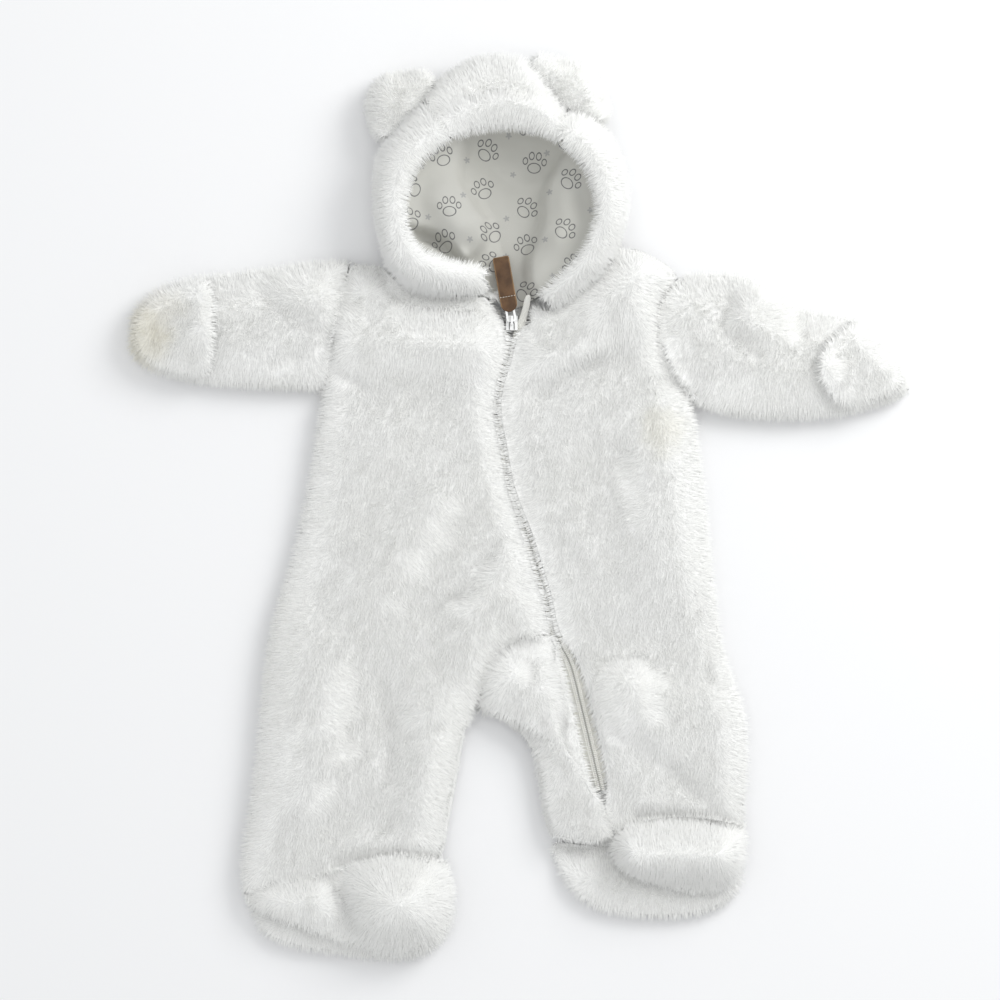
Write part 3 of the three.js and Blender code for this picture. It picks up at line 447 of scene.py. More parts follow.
def faceOpenness(mesh):  # the mean over a few places of each face
    points = pointsOf(mesh)
    places, normals, owner = [], [], []
    for face in mesh.polygons:
        middle = points[list(face.vertices)].mean(axis=0)
        for corner in face.vertices:
            places.append(middle * 0.55 + points[corner] * 0.45)
            normals.append(tuple(face.normal))
            owner.append(face.index)
    share = openness(places, normals)
    return np.bincount(owner, weights=share) / np.bincount(owner)


def smoothFaces(mesh):
    mesh.polygons.foreach_set("use_smooth", [True] * len(mesh.polygons))
    mesh.update()


def smoothLine(points, steps):  # a smooth line through the given points
    given = [np.array(p, dtype=float) for p in points]
    ends = [2 * given[0] - given[1], *given, 2 * given[-1] - given[-2]]
    line = []
    for i in range(1, len(ends) - 2):
        a, b, c, d = ends[i - 1:i + 3]
        for k in range(steps):
            f = k / steps
            curved = (2 * a - 5 * b + 4 * c - d) * f**2 + (3 * b - a - 3 * c + d) * f**3
            line.append(0.5 * (2 * b + (c - a) * f + curved))
    line.append(ends[-2])
    return np.array(line)


def distanceTo(line, places):  # from each place to a line, in the plane
    nearest = np.full(len(places), 1e9)
    for a, b in zip(line[:-1], line[1:]):
        span = b - a
        share = np.clip(((places - a) @ span) / max(span @ span, 1e-12), 0, 1)
        away = np.hypot(*(places - a - share[:, None] * span).T)
        nearest = np.minimum(nearest, away)
    return nearest


def smoothStep(values, low, high):
    share = np.clip((values - low) / (high - low), 0, 1)
    return share * share * (3 - 2 * share)


def bell(away, wide):
    return np.exp(-((away / wide) ** 2))


def creaseHeight(lines, places):
    height = np.zeros(len(places))
    for line, wide, high in lines:
        away = distanceTo(smoothLine(line, 5) / 1000, places)
        height += high / 1000 * bell(away, wide / 1000)
    return height


# How a piece is handed over to the frame

counted = []


def settle(made, body, node=None):
    if node:
        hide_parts(node)
    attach(made, body)
    counted.append(sum(len(face.vertices) - 2 for face in made.data.polygons))
    print(f"{made.name}: {counted[-1]} triangles")


# What lies against what: fur grows only where a surface is open to the air

def allSolids():  # as one tree to cast rays at, without the pull
    points, faces = [], []
    for name, node in cadNodes.items():
        if name in ("zip_link", "pull_tab"):
            continue
        start = len(points)
        points.extend(vertex.co.copy() for vertex in node.data.vertices)
        faces.extend([start + i for i in face.vertices] for face in node.data.polygons)
    return BVHTree.FromPolygons(points, faces)


def openness(points, normals, reach=0.05):
    # the share of directions about each normal that run free of cloth and floor
    tilts = [(0.0, 0.0)] + [(0.8, math.tau * k / 6) for k in range(6)]
    share = np.zeros(len(points))
    for i, (p, n) in enumerate(zip(points, normals)):
        normal = Vector(n)
        side = normal.orthogonal().normalized()
        other = normal.cross(side)
        start = Vector(p) + normal * (0.0016 + 0.0026 * max(normal.z, 0))
        free = 0
        for tilt, turn in tilts:
            way = normal * math.cos(tilt) + (side * math.cos(turn) + other * math.sin(turn)) * math.sin(tilt)
            if way.z < 0 and start.z / -way.z < reach:
                continue
            if allCad.ray_cast(start, way, reach)[0] is None:
                free += 1
        share[i] = free / len(tilts)
    return share


def creaseSeams(mesh, aside):  # the corners at a seam stay sharp, so that no groove opens there
    work = bmesh.new()
    work.from_mesh(mesh)
    layer = work.edges.layers.float.new("crease_edge")
    for edge in work.edges:
        if aside[edge.verts[0].index] < 0.5 and aside[edge.verts[1].index] < 0.5:
            if len(edge.link_faces) == 2 and edge.calc_face_angle() > 0.8:
                edge[layer] = 0.9
    work.to_mesh(mesh)
    work.free()


def sidewaysFree(points, normals, reach=0.011):
    # 1 where no neighbour stands beside a rim, 0 at a seam, and there the way across the seam
    free, across = np.ones(len(points)), np.zeros((len(points), 3))
    for i, (p, n) in enumerate(zip(points, normals)):
        flat = Vector((n[0], n[1], 0))
        if flat.length < 0.15:
            continue
        start = Vector(p) + flat.normalized() * 0.0002 + Vector((0, 0, -0.002 if n[2] > 0.2 else 0))
        if allCad.ray_cast(start, flat, reach)[0] is not None:
            free[i] = 0
            across[i] = flat.normalized()
    return free, across


def thicknessBelow(points, normals):
    deep = np.full(len(points), 0.008)
    for i, (p, n) in enumerate(zip(points, normals)):
        if n[2] > 0.05:
            hit = allCad.ray_cast(Vector(p) - Vector(n) * 0.0002, Vector((0, 0, -1)), 0.06)
            if hit[0] is not None:
                deep[i] = hit[3] + 0.0002
    return deep


# Lines that the zip and the hood's brim follow

zipLine = [
    (-6.5, 131), (-9, 112), (-16, 89), (-18, 70), (-13.5, 44), (-7, 10), (1, -12), (10.5, -42), (20, -72),
    (26, -98), (37, -121), (44, -147), (52, -181), (59, -211), (64, -232), (69, -249),
]
centring = 0.35  # the drawing's y is this much less than the frame's
zipPath = smoothLine(zipLine, 8) + np.array([0, centring])

# Finer creases than the solids have: a line, half its width and its height, which is negative in a trough
creases = [
    ([(-46, -72), (-30, -52), (-16, -27)], 6, -2.6),
    ([(-70, -84), (-52, -70)], 5, -1.6),
    ([(59, 108), (38, 98), (14, 82)], 6, -2.4),
    ([(64, 118), (44, 112)], 5, 1.6),
    ([(121, 174), (112, 160), (101, 149)], 5, -3.0),
    ([(127, 92), (130, 80)], 6, -3.2),
    ([(118, 96), (104, 84)], 5, -1.8),
    ([(160, 153), (153, 131), (179, 115)], 5, -3.0),
    ([(166, 150), (176, 132)], 6, 2.0),
    ([(209, 146), (206, 134), (214, 124)], 4, -2.6),
    ([(-196, 160), (-170, 140), (-143, 123)], 6, -2.8),
    ([(-190, 148), (-206, 132)], 5, -1.8),
    ([(-166, 112), (-186, 104)], 5, -1.6),
    ([(-134, 98), (-120, 90)], 5, -2.2),
    ([(-136, -268), (-100, -262), (-60, -266)], 5, -3.0),
    ([(-120, -252), (-80, -254)], 6, 1.8),
    ([(89, -233), (124, -234), (160, -244)], 5, -3.0),
    ([(92, -222), (136, -226)], 5, 1.6),
    ([(134, -72), (140, -100), (142, -132)], 5, -2.2),
    ([(89, -177), (118, -204), (149, -237)], 7, -2.4),
    ([(70, -170), (96, -196)], 5, -1.4),
    ([(-104, -140), (-98, -176), (-98, -204)], 6, -2.0),
    ([(-150, -150), (-166, -190)], 6, -1.8),
    ([(-60, -168), (-84, -176)], 5, -1.8),
    ([(-24, -120), (-14, -112), (4, -104)], 4, -2.0),
    ([(-96, 158), (-60, 152), (-26, 150)], 5, -1.8),
    ([(-60, 120), (-84, 126), (-110, 122)], 7, 1.4),
    ([(-40, 40), (-60, 22)], 8, -1.4),
    ([(-100, 40), (-122, 20)], 8, 1.4),
    ([(74, 40), (90, 10)], 8, -1.4),
    ([(40, -20), (60, -50)], 7, 1.4),
    ([(-132, -40), (-150, -70)], 8, -1.6),
]


# The plush: a thin backing on each solid's form, and its pile

plush = {
    "sink": 3.4,  # the backing lies this much inside the solid, which reaches as far as the pile
    "keep": 0.5,  # share of the wall that the backing keeps where it is thinnest
    "meet": 0.6,  # how far it reaches over to its neighbour at a seam
    "strand": 6.8,  # length of the pile
    "girth": 0.40,  # a strand's radius at its root
    "upright": 0.62,  # how far the pile stands up rather than lying along the cloth
    "tuft": 0.32,  # how far it leans together in tufts
    "tuftSize": 11.0,
    "stray": 0.2,  # how far single strands point elsewhere
    "clothShade": 0.85,  # how much a strand is shaded as the cloth that it grows from
    "glow": 0.5,  # how much light the pile gathers from above at its rims
    "underPull": 16.6,  # the pile's greatest height there
    "neckTuft": (-20, 155, 10, 12.5),  # the back bunches up beside the pull: place, size and height
    "open": ((0.08, 0.4), (0.02, 0.24)),  # openness from no pile to full, on rough and on fine pieces
    "eased": {"gusset_left": ((11, -167, 19), 30)},  # where a rim is evened out, and how often
    "overZip": [  # how much it leans over the zip, at each y
        (-215, -0.2), (-190, -1.1), (-125, -1.0), (-107, -0.1), (-93, 1.3), (-60, 0.5), (-20, 0.6),
        (0, 1.2), (60, 1.1), (118, 0.9), (145, 1.2),
    ],
    "swept": [  # where the pile is pushed over: a place and its size, and the way
        ((-24, 162, 10), (1.3, -0.2)),
        ((-22, 148, 9), (1.2, 0.3)),
        ((14, 160, 9), (-0.9, -0.3)),
    ],
}

# Each piece of plush: its finer subdivision, strands for a square millimetre, and the sheet it was cut from,
# as width, length and flat area
plushPieces = {
    "front_right": (1, 0.63, (0.23, 0.475), 0.072),
    "front_left": (1, 0.65, (0.185, 0.44), 0.053),
    "gusset_left": (1, 0.68, (0.10, 0.16), 0.009),
    "sleeve_right": (1, 0.65, (0.17, 0.18), 0.026),
    "sleeve_left": (1, 0.65, (0.19, 0.18), 0.031),
    "mitt_right": (0, 0.68, (0.062, 0.078), 0.004),
    "mitt_left": (0, 0.68, (0.067, 0.070), 0.0034),
    "foot_right": (1, 0.70, (0.16, 0.085), 0.0098),
    "foot_left": (1, 0.70, (0.105, 0.078), 0.0068),
    "sole_right": (0, 0.59, (0.16, 0.075), 0.0095),
    "sole_left": (0, 0.59, (0.148, 0.066), 0.008),
    "back_right": (0, 0.54, (0.20, 0.475), 0.070),
    "back_left": (0, 0.54, (0.185, 0.45), 0.066),
    "hood_side_right": (1, 0.70, (0.075, 0.23), 0.0125),
    "hood_crown": (1, 0.70, (0.105, 0.105), 0.0095),
    "hood_side_left": (1, 0.70, (0.070, 0.23), 0.011),
    "hood_back": (0, 0.54, (0.20, 0.19), 0.028),
}


def dropValues(mesh):  # what the mesh holds only while the pile grows
    for name in ("pile", "comb", "deep", "aside", "across", "root"):
        if name in mesh.attributes:
            mesh.attributes.remove(mesh.attributes[name])


def combing(points, normals, across):
    # the pile lies down the body, outwards at the rims, across the seams, and over the zip where it is closed
    away = np.zeros((len(points), 3))
    away[:, 1] = -0.5
    away[:, :2] += normals[:, :2] * 0.35 + across[:, :2] * 1.4
    places = points[:, :2]
    near = distanceTo(zipPath / 1000, places)
    lean = 0.9 * (1 - smoothStep(near, 0.006, 0.022)) * (places[:, 1] < 0.15)
    side = np.sign(places[:, 0] - np.interp(-places[:, 1], -zipPath[:, 1] / 1000, zipPath[:, 0] / 1000))
    away[:, 0] -= side * lean * np.interp(places[:, 1] * 1000, *zip(*plush["overZip"]))
    for (x, y, wide), push in plush["swept"]:
        share = bell(np.hypot(places[:, 0] * 1000 - x, places[:, 1] * 1000 - y), wide)
        away[:, :2] += share[:, None] * push
    return away


def newTree(name, inputs):  # a node tree, its inputs, and a way to add a node to it
    tree = bpy.data.node_groups.new(name, "GeometryNodeTree")
    for label, kind in [("Geometry", "Geometry"), *inputs, ("Material", "Material")]:
        tree.interface.new_socket(label, in_out="INPUT", socket_type="NodeSocket" + kind)
    tree.interface.new_socket("Geometry", in_out="OUTPUT", socket_type="NodeSocketGeometry")

    def add(kind, settings=None, links=None):
        made = tree.nodes.new(kind)
        for key, value in (settings or {}).items():
            setattr(made, key, value)
        for key, value in (links or {}).items():
            if isinstance(value, bpy.types.NodeSocket):
                tree.links.new(value, made.inputs[key])
            else:
                made.inputs[key].default_value = value
        return made

    return tree, add("NodeGroupInput").outputs, add


def endTree(tree, add, copies, material):
    real = add("GeometryNodeRealizeInstances", None, {"Geometry": copies.outputs[0]})
    painted = add("GeometryNodeSetMaterial", None, {"Geometry": real.outputs[0], "Material": material})
    tree.links.new(painted.outputs[0], add("NodeGroupOutput").inputs[0])
    return tree


def pileTree():
    # strands of a plush: closed three-sided spikes on a surface, combed, tufted and a little unruly
    sizes = ("Strands", "Length", "Girth", "Upright", "Tuft", "Tuft Size", "Stray")
    tree, given, add = newTree("plushPile", [*((label, "Float") for label in sizes), ("Seed", "Int")])

    def maths(operation, a, b):
        return add("ShaderNodeMath", {"operation": operation}, {0: a, 1: b}).outputs[0]

    def vectors(operation, a, b):
        return add("ShaderNodeVectorMath", {"operation": operation}, {0: a, 1: b}).outputs[0]

    def scaled(vector, amount):
        return add("ShaderNodeVectorMath", {"operation": "SCALE"}, {0: vector, "Scale": amount}).outputs[0]

    def attribute(name, kind):
        return add("GeometryNodeInputNamedAttribute", {"data_type": kind}, {"Name": name}).outputs[0]

    scatter = add("GeometryNodeDistributePointsOnFaces", {"distribute_method": "RANDOM"}, {
        "Mesh": given["Geometry"], "Density": maths("MULTIPLY", attribute("pile", "FLOAT"), given["Strands"]),
        "Seed": given["Seed"],
    })
    normal = scatter.outputs["Normal"]
    swirl = add("ShaderNodeTexNoise", {"noise_dimensions": "3D"}, {
        "Vector": add("GeometryNodeInputPosition").outputs[0],
        "Scale": maths("DIVIDE", 1.0, given["Tuft Size"]),
        "Detail": 2.0, "Roughness": 0.55,
    })
    centred = vectors("SUBTRACT", swirl.outputs["Color"], (0.5, 0.5, 0.5))
    luck = add("FunctionNodeRandomValue", {"data_type": "FLOAT_VECTOR"}, {
        "Min": (-1, -1, -1), "Max": (1, 1, 1), "Seed": given["Seed"],
    })
    way = vectors("ADD", scaled(normal, given["Upright"]), attribute("comb", "FLOAT_VECTOR"))
    way = vectors("ADD", way, scaled(scaled(centred, 4.0), given["Tuft"]))
    way = vectors("ADD", way, scaled(luck.outputs[0], given["Stray"]))
    points = add("GeometryNodeSetPosition", None, {
        "Geometry": scatter.outputs["Points"], "Offset": scaled(normal, -0.0005),
    })
    marked = add("GeometryNodeStoreNamedAttribute", {"data_type": "FLOAT_VECTOR", "domain": "POINT"}, {
        "Geometry": points.outputs[0], "Name": "root", "Value": normal,
    })
    turned = add("FunctionNodeAlignRotationToVector", {"axis": "Z"}, {"Vector": way})
    spike = add("GeometryNodeMeshCone", {"fill_type": "NGON"}, {
        "Vertices": 3, "Radius Top": 0.0, "Radius Bottom": 1.0, "Depth": 1.0,
    })
    vary = add("FunctionNodeRandomValue", {"data_type": "FLOAT"}, {2: 0.6, 3: 1.15, "Seed": 11})
    scale = add("ShaderNodeCombineXYZ", None, {
        0: given["Girth"], 1: given["Girth"], 2: maths("MULTIPLY", vary.outputs[1], given["Length"]),
    })
    strands = add("GeometryNodeInstanceOnPoints", None, {
        "Points": marked.outputs[0], "Instance": spike.outputs["Mesh"],
        "Rotation": turned.outputs[0], "Scale": scale.outputs[0],
    })
    return endTree(tree, add, strands, given["Material"])


def setInputs(modifier, values):  # by each socket's identifier, before the first evaluation
    for item in modifier.node_group.interface.items_tree:
        if item.item_type == "SOCKET" and item.in_out == "INPUT" and item.name in values:
            modifier[item.identifier] = values[item.name]


def growPile(skin, name, strands, seed, upright=plush["upright"]):
    made = newObject(name, skin.data.copy())
    grower = made.modifiers.new("pile", "NODES")
    grower.node_group = pileNodes
    setInputs(grower, {
        "Strands": strands * 1e6, "Length": plush["strand"] / 1000, "Girth": plush["girth"] / 1000,
        "Upright": upright, "Tuft": plush["tuft"], "Tuft Size": plush["tuftSize"] / 1000,
        "Stray": plush["stray"], "Seed": seed, "Material": pileFinish,
    })
    applied(made)
    points = pointsOf(made.data)
    points[:, 2] = np.maximum(points[:, 2], 0.0003)
    clearPull(points)
    setPoints(made.data, points)
    smoothFaces(made.data)
    shadeAsCloth(made.data)
    dropValues(made.data)
    return made


def shadeAsCloth(mesh):
    # fine strands scatter light much as the cloth under them does, most of all where they face the same way
    root = vectorOf(mesh, "root")
    cloth = root + np.array([0, 0, plush["glow"]]) * (root[:, 2:] > -0.5)
    cloth /= np.maximum(np.linalg.norm(cloth, axis=1, keepdims=True), 1e-6)
    corners = np.empty(len(mesh.loops), dtype=np.int32)
    mesh.loops.foreach_get("vertex_index", corners)
    sides = np.empty(len(mesh.polygons), dtype=np.int32)
    mesh.polygons.foreach_get("loop_total", sides)
    facing = np.repeat(numbersOf(mesh.polygons, "normal"), sides, axis=0)
    cloth = cloth[corners]
    alike = (facing * cloth).sum(axis=1)
    share = (plush["clothShade"] * smoothStep(alike, -0.2, 0.6))[:, None]
    normals = facing * (1 - share) + cloth * share
    normals /= np.maximum(np.linalg.norm(normals, axis=1, keepdims=True), 1e-6)
    mesh.normals_split_custom_set(normals.tolist())


def easeFold(mesh, zone):
    # the rim of a fold is evened out around one place, and what lies open there is returned
    (x, y, wide), times = zone
    points = pointsOf(mesh)
    edges = np.array([tuple(edge.vertices) for edge in mesh.edges])
    count = np.bincount(edges.ravel(), minlength=len(points))[:, None]
    near = wide - np.hypot(points[:, 0] * 1000 - x, points[:, 1] * 1000 - y)
    share = 0.6 * smoothStep(near, 0, wide * 0.4)[:, None]
    for _ in range(times):
        total = np.zeros_like(points)
        np.add.at(total, edges[:, 0], points[edges[:, 1]])
        np.add.at(total, edges[:, 1], points[edges[:, 0]])
        points += (total / count - points) * share
    setPoints(mesh, points)
    middles = np.array([face.center[:2] for face in mesh.polygons]) * 1000
    rising = np.array([face.normal.z for face in mesh.polygons])
    return (np.hypot(middles[:, 0] - x, middles[:, 1] - y) < wide) & (rising > -0.2)


def clearPull(points):
    # strands under the pull and its link are pressed down to below them
    across, along = alongPull(*(points[:, :2] * 1000 - pull["pivot"][:2]).T)
    reach = pull["start"] + pull["long"]
    near = (np.abs(across) < pull["wide"] / 2 + 1.5) & (along > -9) & (along < reach + 2)
    points[near, 2] = np.minimum(points[near, 2], plush["underPull"] / 1000)


def dressPlush(node, seed):
    finer, strands, flat, area = plushPieces[node]
    made = newObject(node + "Cloth", mergedMesh(node), backing)
    bare = easeFold(made.data, plush["eased"][node]) if node in plush["eased"] else None
    points, normals = pointsOf(made.data), normalsOf(made.data)
    pile = smoothStep(faceOpenness(made.data), *plush["open"][finer])
    if bare is not None:
        pile[bare] = 1
    setValue(made.data, "pile", pile, "FACE")
    setValue(made.data, "deep", thicknessBelow(points, normals))
    aside, across = sidewaysFree(points, normals)
    setValue(made.data, "aside", aside)
    setValue(made.data, "across", across)
    creaseSeams(made.data, aside)
    subdivided(made, 1 + finer)
    mesh = made.data
    points, normals = pointsOf(mesh), normalsOf(mesh)
    pile, deep = mostAround(mesh, "pile"), valueOf(mesh, "deep")
    sink = plush["sink"] / 1000
    shift = -sink * normals * (pile * valueOf(mesh, "aside"))[:, None]
    upward = np.maximum(normals[:, 2], 0)
    down = np.minimum(sink * upward, deep * plush["keep"]) * np.maximum(pile, 0.9)
    shift[:, 2] = np.where(normals[:, 2] > 0, -down, 0)
    flatTop = smoothStep(upward, 0.5, 0.9)
    shift[:, 2] += creaseHeight(creases, points[:, :2]) * flatTop * smoothStep(deep, 0.004, 0.008) * pile
    shift[:, :2] += vectorOf(mesh, "across")[:, :2] * plush["meet"] / 1000
    if not finer:
        x, y, wide, high = plush["neckTuft"]
        away = np.hypot(points[:, 0] * 1000 - x, points[:, 1] * 1000 - y)
        shift[:, 2] += high / 1000 * bell(away, wide) * flatTop
    points += shift
    points[:, 2] = np.maximum(points[:, 2], 0)
    setPoints(mesh, points)
    setValue(mesh, "comb", combing(points, normalsOf(mesh), vectorOf(mesh, "across")))
    smoothFaces(mesh)
    fur = growPile(made, node + "Pile", strands, seed)
    dropValues(mesh)
    settle(made, "garment", node)
    settle(fur, "garment")


ears = {
    "sink": 4.2,  # the stuffed cover before it swells lies this much inside the solid
    "voxel": 4.0,
    "pressure": 4.0,
    "steps": 20,
    "most": 3.0,  # how far a point may swell
    "fill": 0.7,
    "strands": 0.75,
    "seam": 9.0,  # above this, the side that leans on the hood stands up to the next height
    "lift": 30.0,
    "leaning": {  # where each ear leans on the hood
        "ear_right": [(-69.5, 319.5), (-72, 308), (-87, 292), (-95, 283.5), (-102.5, 277)],
        "ear_left": [(11, 333), (16.4, 321.2), (25.8, 306.7), (40.2, 297.7), (59.8, 289.2)],
    },
}


def dressEar(node, seed):
    made = newObject(node + "Cloth", mergedMesh(node), backing)
    remesh = made.modifiers.new("remesh", "REMESH")
    remesh.mode = "VOXEL"
    remesh.voxel_size = ears["voxel"] / 1000
    applied(made)
    mesh = made.data
    points, normals = pointsOf(mesh), normalsOf(mesh)
    leaning = smoothLine(ears["leaning"][node], 4) / 1000
    near = bell(distanceTo(leaning, points[:, :2]), 0.012)
    share = np.where(normals[:, 2] < -0.6, 0.3, 1) * (1 - 1.7 * near)
    points -= normals * ears["sink"] / 1000 * share[:, None]
    above = points[:, 2] > ears["seam"] / 1000
    points[:, 2] += np.maximum(ears["lift"] / 1000 - points[:, 2], 0) * near * above
    points[:, 2] = np.maximum(points[:, 2], 0.001)
    setPoints(mesh, points)
    cloth = made.modifiers.new("stuffing", "CLOTH")
    cloth.settings.use_pressure = True
    cloth.settings.uniform_pressure_force = ears["pressure"]
    cloth.settings.effector_weights.gravity = 0
    cloth.settings.quality = 5
    for step in range(1, ears["steps"] + 1):
        scene.frame_set(step)
    applied(made)
    scene.frame_set(1)
    swollen = pointsOf(made.data) - points
    length = np.linalg.norm(swollen, axis=1, keepdims=True)
    points = points + swollen * np.minimum(1, ears["most"] / 1000 / np.maximum(length, 1e-9))
    points[:, 2] = np.maximum(points[:, 2], 0.0006)
    setPoints(made.data, points)
    subdivided(made, 1)
    mesh = made.data
    points, normals = pointsOf(mesh), normalsOf(mesh)
    near = bell(distanceTo(leaning, points[:, :2]), 0.01)[:, None]
    outward = points + normals * (0.0055 - 0.004 * near)
    setValue(mesh, "pile", smoothStep(openness(outward, normals), 0.02, 0.3))
    comb = np.zeros_like(points)
    comb[:, :2] = normals[:, :2] * (0.4 + 1.6 * near)
    comb[:, 1] -= 0.2
    setValue(mesh, "comb", comb)
    smoothFaces(mesh)
    fur = growPile(made, node + "Pile", ears["strands"], seed, upright=1.0)
    dropValues(mesh)
    mesh.materials.clear()
    mesh.materials.append(backing)
    settle(made, "garment", node)
    settle(fur, "garment")


# The hood's lining

lining = {
    "levels": 2,
    "reach": 38.0,  # the folds fade out towards this height, near the brim
    "bulges": [  # outline of cloth that stands up in a fold, its height and how wide its edge is
        ([(-104, 232), (-98, 264), (-62, 288), (-40, 280), (-42, 262), (-43, 247), (-34, 230), (-25, 214),
          (-24, 200), (-32, 187), (-43, 181), (-52, 190), (-66, 200), (-98, 208)], 14.0, 9.0),
        ([(14, 226), (20, 246), (34, 266), (64, 272), (90, 240), (80, 196), (54, 172), (28, 156), (8, 158),
          (3, 180), (9, 198), (14, 212)], 11.0, 8.0),
        ([(-96, 202), (-69, 196), (-57, 186), (-48, 176), (-60, 164), (-92, 172)], 8.0, 5.0),
    ],
    "creases": [  # line, half its width and its height
        ([(-82, 206), (-66, 200), (-56, 191), (-49, 183)], 3, -2.5),
        ([(-20, 226), (-12, 200), (0, 176)], 8, -2.5),
        ([(-16, 250), (2, 240), (20, 244)], 6, 2.2),
        ([(-66, 226), (-48, 210)], 8, 2.0),
        ([(30, 224), (44, 210)], 8, 2.0),
    ],
    "flat": (0.17, 0.16),
    "area": 0.019,
}


def insideOf(outline, places):  # which places lie inside a closed outline
    inside = np.zeros(len(places), dtype=bool)
    for (ax, ay), (bx, by) in zip(outline, np.roll(outline, -1, axis=0)):
        crosses = (ay > places[:, 1]) != (by > places[:, 1])
        meets = ax + (bx - ax) * (places[:, 1] - ay) / (by - ay if by != ay else 1e-9)
        inside ^= crosses & (places[:, 0] < meets)
    return inside


def dressLining():
    made = newObject("hoodLiningCloth", mergedMesh("hood_lining"), liningMaterial())
    subdivided(made, lining["levels"])
    points = pointsOf(made.data)
    height = creaseHeight(lining["creases"], points[:, :2])
    for outline, high, edge in lining["bulges"]:
        ring = smoothLine(outline + outline[:1], 4) / 1000
        away = distanceTo(ring, points[:, :2]) * np.where(insideOf(ring[:-1], points[:, :2]), 1, -1)
        height += high / 1000 * smoothStep(away, -edge / 4000, edge * 3 / 4000)
    height *= smoothStep(lining["reach"] / 1000 - points[:, 2], 0, 0.012)
    upper = normalsOf(made.data)[:, 2] > 0
    points[:, 2] = np.maximum(points[:, 2] + height, np.where(upper, 0.0098, 0.0086))
    setPoints(made.data, points)
    smoothFaces(made.data)
    settle(made, "garment", "hood_lining")


# The zip

zipper = {
    "pitch": 1.45,  # from one turn of the coil to the next
    "height": 14.05,  # of the coil's middle
    "turns": [  # how far aside, its width, length and height, and its slant
        ("teeth", 1.35, (3.3, 1.1, 2.5), 0.12),
        ("coilEdge", 2.7, (0.8, 1.8, 2.2), 0.0),
    ],
    "top": 124.0,
    "bottom": -214.0,
    "sewn": 4.6,  # from the middle to each row of stitches on the tape
    "stitch": 2.6,
    "thread": (0.45, 2.2, 0.4),
    "tapeHeight": 12.55,
    "tapeFlat": (0.011, 0.37),
}


def alongTree():
    # small copies of a rounded bar along a line, moved to one side of it and turned with it
    sizes = ("Pitch", "Side", "Bar Wide", "Bar Long", "Bar High", "Slant")
    tree, given, add = newTree("barsAlongLine", [(label, "Float") for label in sizes])

    def combined(values):
        return add("ShaderNodeCombineXYZ", None, values).outputs[0]

    line = add("GeometryNodeMeshToCurve", None, {"Mesh": given["Geometry"]})
    spaced = add("GeometryNodeCurveToPoints", {"mode": "LENGTH"}, {
        "Curve": line.outputs[0], "Length": given["Pitch"],
    })
    bar = add("GeometryNodeMeshUVSphere", None, {"Segments": 6, "Rings": 4, "Radius": 0.5})
    steps = [  # scaled, then turned, then moved aside
        ("Scale", {0: given["Bar Wide"], 1: given["Bar Long"], 2: given["Bar High"]}),
        ("Rotation", {2: given["Slant"]}),
        ("Translation", {0: given["Side"]}),
    ]
    for socket, values in steps:
        bar = add("GeometryNodeTransform", None, {"Geometry": bar.outputs[0], socket: combined(values)})
    turn = add("FunctionNodeAlignRotationToVector", {"axis": "Y"}, {"Vector": spaced.outputs["Tangent"]})
    copies = add("GeometryNodeInstanceOnPoints", None, {
        "Points": spaced.outputs["Points"], "Instance": bar.outputs[0], "Rotation": turn.outputs[0],
    })
    return endTree(tree, add, copies, given["Material"])


def barsAlong(name, line, material, pitch, side, bar, slant=0.0):  # line in millimetres, as x, y, z
    mesh = bpy.data.meshes.new(name)
    mesh.from_pydata([tuple(p / 1000) for p in line], [(i, i + 1) for i in range(len(line) - 1)], [])
    made = newObject(name, mesh)
    repeat = made.modifiers.new("bars", "NODES")
    repeat.node_group = barNodes
    wide, long, high = bar
    setInputs(repeat, {
        "Pitch": pitch / 1000, "Side": side / 1000, "Slant": slant, "Material": material,
        "Bar Wide": wide / 1000, "Bar Long": long / 1000, "Bar High": high / 1000,
    })
    applied(made)
    smoothFaces(made.data)
    return made


def joinedInto(name, parts):
    work = bmesh.new()
    joined = bpy.data.meshes.new(name)
    for material in parts[0].data.materials:
        joined.materials.append(material)
    for part in parts:
        work.from_mesh(part.data)
    work.to_mesh(joined)
    work.free()
    for part in parts:
        bpy.data.objects.remove(part)
    smoothFaces(joined)
    return newObject(name, joined)


def dressZip():
    steps = zipPath[(zipPath[:, 1] < zipper["top"]) & (zipPath[:, 1] > zipper["bottom"])]
    line = np.column_stack([steps, np.full(len(steps), zipper["height"])])
    way = np.gradient(steps, axis=0)
    way /= np.linalg.norm(way, axis=1, keepdims=True)
    later = line + np.column_stack([way, np.zeros(len(way))]) * zipper["pitch"] / 2
    coil, thread, tape = coilMaterial(), threadMaterial(), tapeMaterial()
    turns = []
    for name, aside, bar, slant in zipper["turns"]:
        for hand, side, start in (("Right", 1, line), ("Left", -1, later)):
            sized = (zipper["pitch"], side * aside, bar, side * slant)
            turns.append(barsAlong(name + hand, start, coil, *sized))
    onTape = np.column_stack([steps, np.full(len(steps), zipper["tapeHeight"])])
    rows = [
        barsAlong("tapeStitch", onTape, thread, zipper["stitch"], side * zipper["sewn"], zipper["thread"])
        for side in (-1, 1)
    ]
    settle(joinedInto("zipCoil", turns), "garment", "zip_chain")
    settle(joinedInto("tapeStitches", rows), "garment")
    for node in ("zip_tape_right", "zip_tape_left"):
        made = subdivided(newObject(node + "Cloth", mergedMesh(node), tape), 2)
        smoothFaces(made.data)
        settle(made, "garment", node)


def bevelled(made, width, sharp):
    edge = made.modifiers.new("edge", "BEVEL")
    edge.width = width / 1000
    edge.segments = 3
    edge.limit_method = "ANGLE"
    edge.angle_limit = sharp
    applied(made)
    smoothFaces(made.data)
    made.data.set_sharp_from_angle(angle=0.7)
    return made


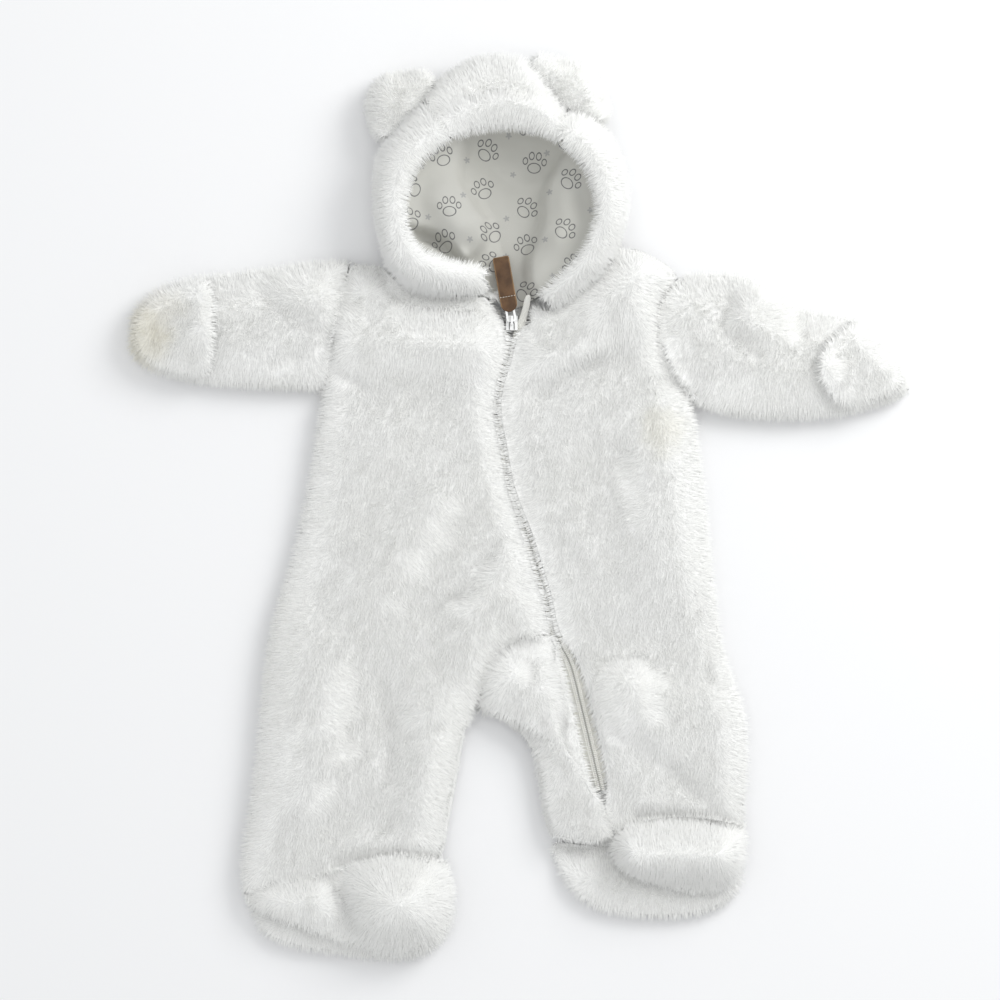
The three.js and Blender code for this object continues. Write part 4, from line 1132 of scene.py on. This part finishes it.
def leatherTab(pivot, across, along, up):
    # a strap folded round the link: half round at the near end, square with eased corners at the far one
    half, near, far, corner = pull["wide"] / 2, pull["start"], pull["start"] + pull["long"], pull["corner"]
    outline = []
    for k in range(17):
        angle = math.pi + math.pi * k / 16
        outline.append((half * math.cos(angle), near + half + half * math.sin(angle)))
    for side, begin in ((1, 0), (-1, math.pi / 2)):
        for k in range(6):
            angle = begin + math.pi / 2 * k / 5
            sideways = side * (half - corner) + corner * math.cos(angle)
            outline.append((sideways, far - corner + corner * math.sin(angle)))
    work = bmesh.new()
    under = pivot - up * pull["thick"] / 2
    low = [work.verts.new((under + across * a + along * b) / 1000) for a, b in outline]
    grown = bmesh.ops.extrude_face_region(work, geom=[work.faces.new(low)])
    top = [part for part in grown["geom"] if isinstance(part, bmesh.types.BMVert)]
    bmesh.ops.translate(work, verts=top, vec=Vector(up * pull["thick"] / 1000))
    bmesh.ops.recalc_face_normals(work, faces=work.faces)
    mesh = bpy.data.meshes.new("leatherTab")
    work.to_mesh(mesh)
    work.free()
    return bevelled(newObject("leatherTab", mesh, leatherMaterial()), pull["edge"], 0.8)


def slotShadeLine():  # painted shade: the dark outline on the slider's face stands for the shaded gap of its slot, an arch with straight legs
    half, long = slider["slotWide"] / 2, slider["slotLong"]
    arch = [(-half, -long / 2)]
    for k in range(9):
        angle = math.pi - math.pi * k / 8
        arch.append((half * math.cos(angle), long / 2 - half + half * math.sin(angle)))
    arch.append((half, -long / 2))
    curve = bpy.data.curves.new("paintedSlotShade", "CURVE")
    curve.dimensions = "3D"
    curve.bevel_depth = slider["slotShadeLine"] / 2000
    curve.bevel_resolution = 2
    curve.use_fill_caps = True
    spline = curve.splines.new("POLY")
    spline.points.add(len(arch) - 1)
    for point, (x, y) in zip(spline.points, arch):
        point.co = (*((np.array(slider["face"]) + np.array([x, y, 0])) / 1000), 1)
    drawn = newObject("paintedSlotShadeLine", curve)
    mesh = bpy.data.meshes.new_from_object(drawn.evaluated_get(bpy.context.evaluated_depsgraph_get()))
    bpy.data.objects.remove(drawn)
    smoothFaces(mesh)
    return newObject("paintedSlotShadeLine", mesh, slotShadeMaterial())


def dressPull():
    enamel = enamelMaterial()
    for node, name, width, body in (
        ("zip_slider", "sliderBody", slider["edge"], "garment"),
        ("zip_link", "linkWire", slider["wireEdge"], "pull"),
    ):
        made = newObject(name, mergedMesh(node, squares=False), enamel)
        settle(bevelled(made, width, 0.5), body, node)
    turn = math.radians(pull["turn"])
    pivot = np.array(pull["pivot"])
    across = np.array([math.cos(turn), math.sin(turn), 0])
    along = np.array([-math.sin(turn), math.cos(turn), 0])
    up = np.array([0, 0, 1])
    settle(leatherTab(pivot, across, along, up), "pull", "pull_tab")
    half = pull["wide"] / 2 - 1.0
    middle = pivot + along * (pull["start"] + pull["stitchFrom"]) + up * (pull["thick"] / 2 + 0.05)
    line = np.array([middle + across * s for s in np.linspace(-half, half, 12)])
    sewn = barsAlong("tabStitches", line, threadMaterial(), pull["stitch"], 0.0, pull["thread"])
    settle(sewn, "pull")
    settle(slotShadeLine(), "garment")


def buildFloor():
    mesh = bpy.data.meshes.new("floor")
    side = 12.0
    corners = [(-side, -side, 0), (side, -side, 0), (side, side, 0), (-side, side, 0)]
    mesh.from_pydata(corners, [], [(0, 1, 2, 3)])
    newObject("floor", mesh, floorMaterial())


buildStudio()
buildFloor()
print("studio ready")

allCad = allSolids()
backing = backingMaterial()
pileFinish = pileMaterial()
pileNodes = pileTree()
barNodes = alongTree()
for number, nodeName in enumerate(plushPieces):
    dressPlush(nodeName, 100 + number)
print("plush ready")

dressEar("ear_right", 31)
dressEar("ear_left", 32)
print("ears ready")

dressLining()
dressZip()
dressPull()
print("lining, zip and pull ready")
print("triangles in all:", sum(counted))
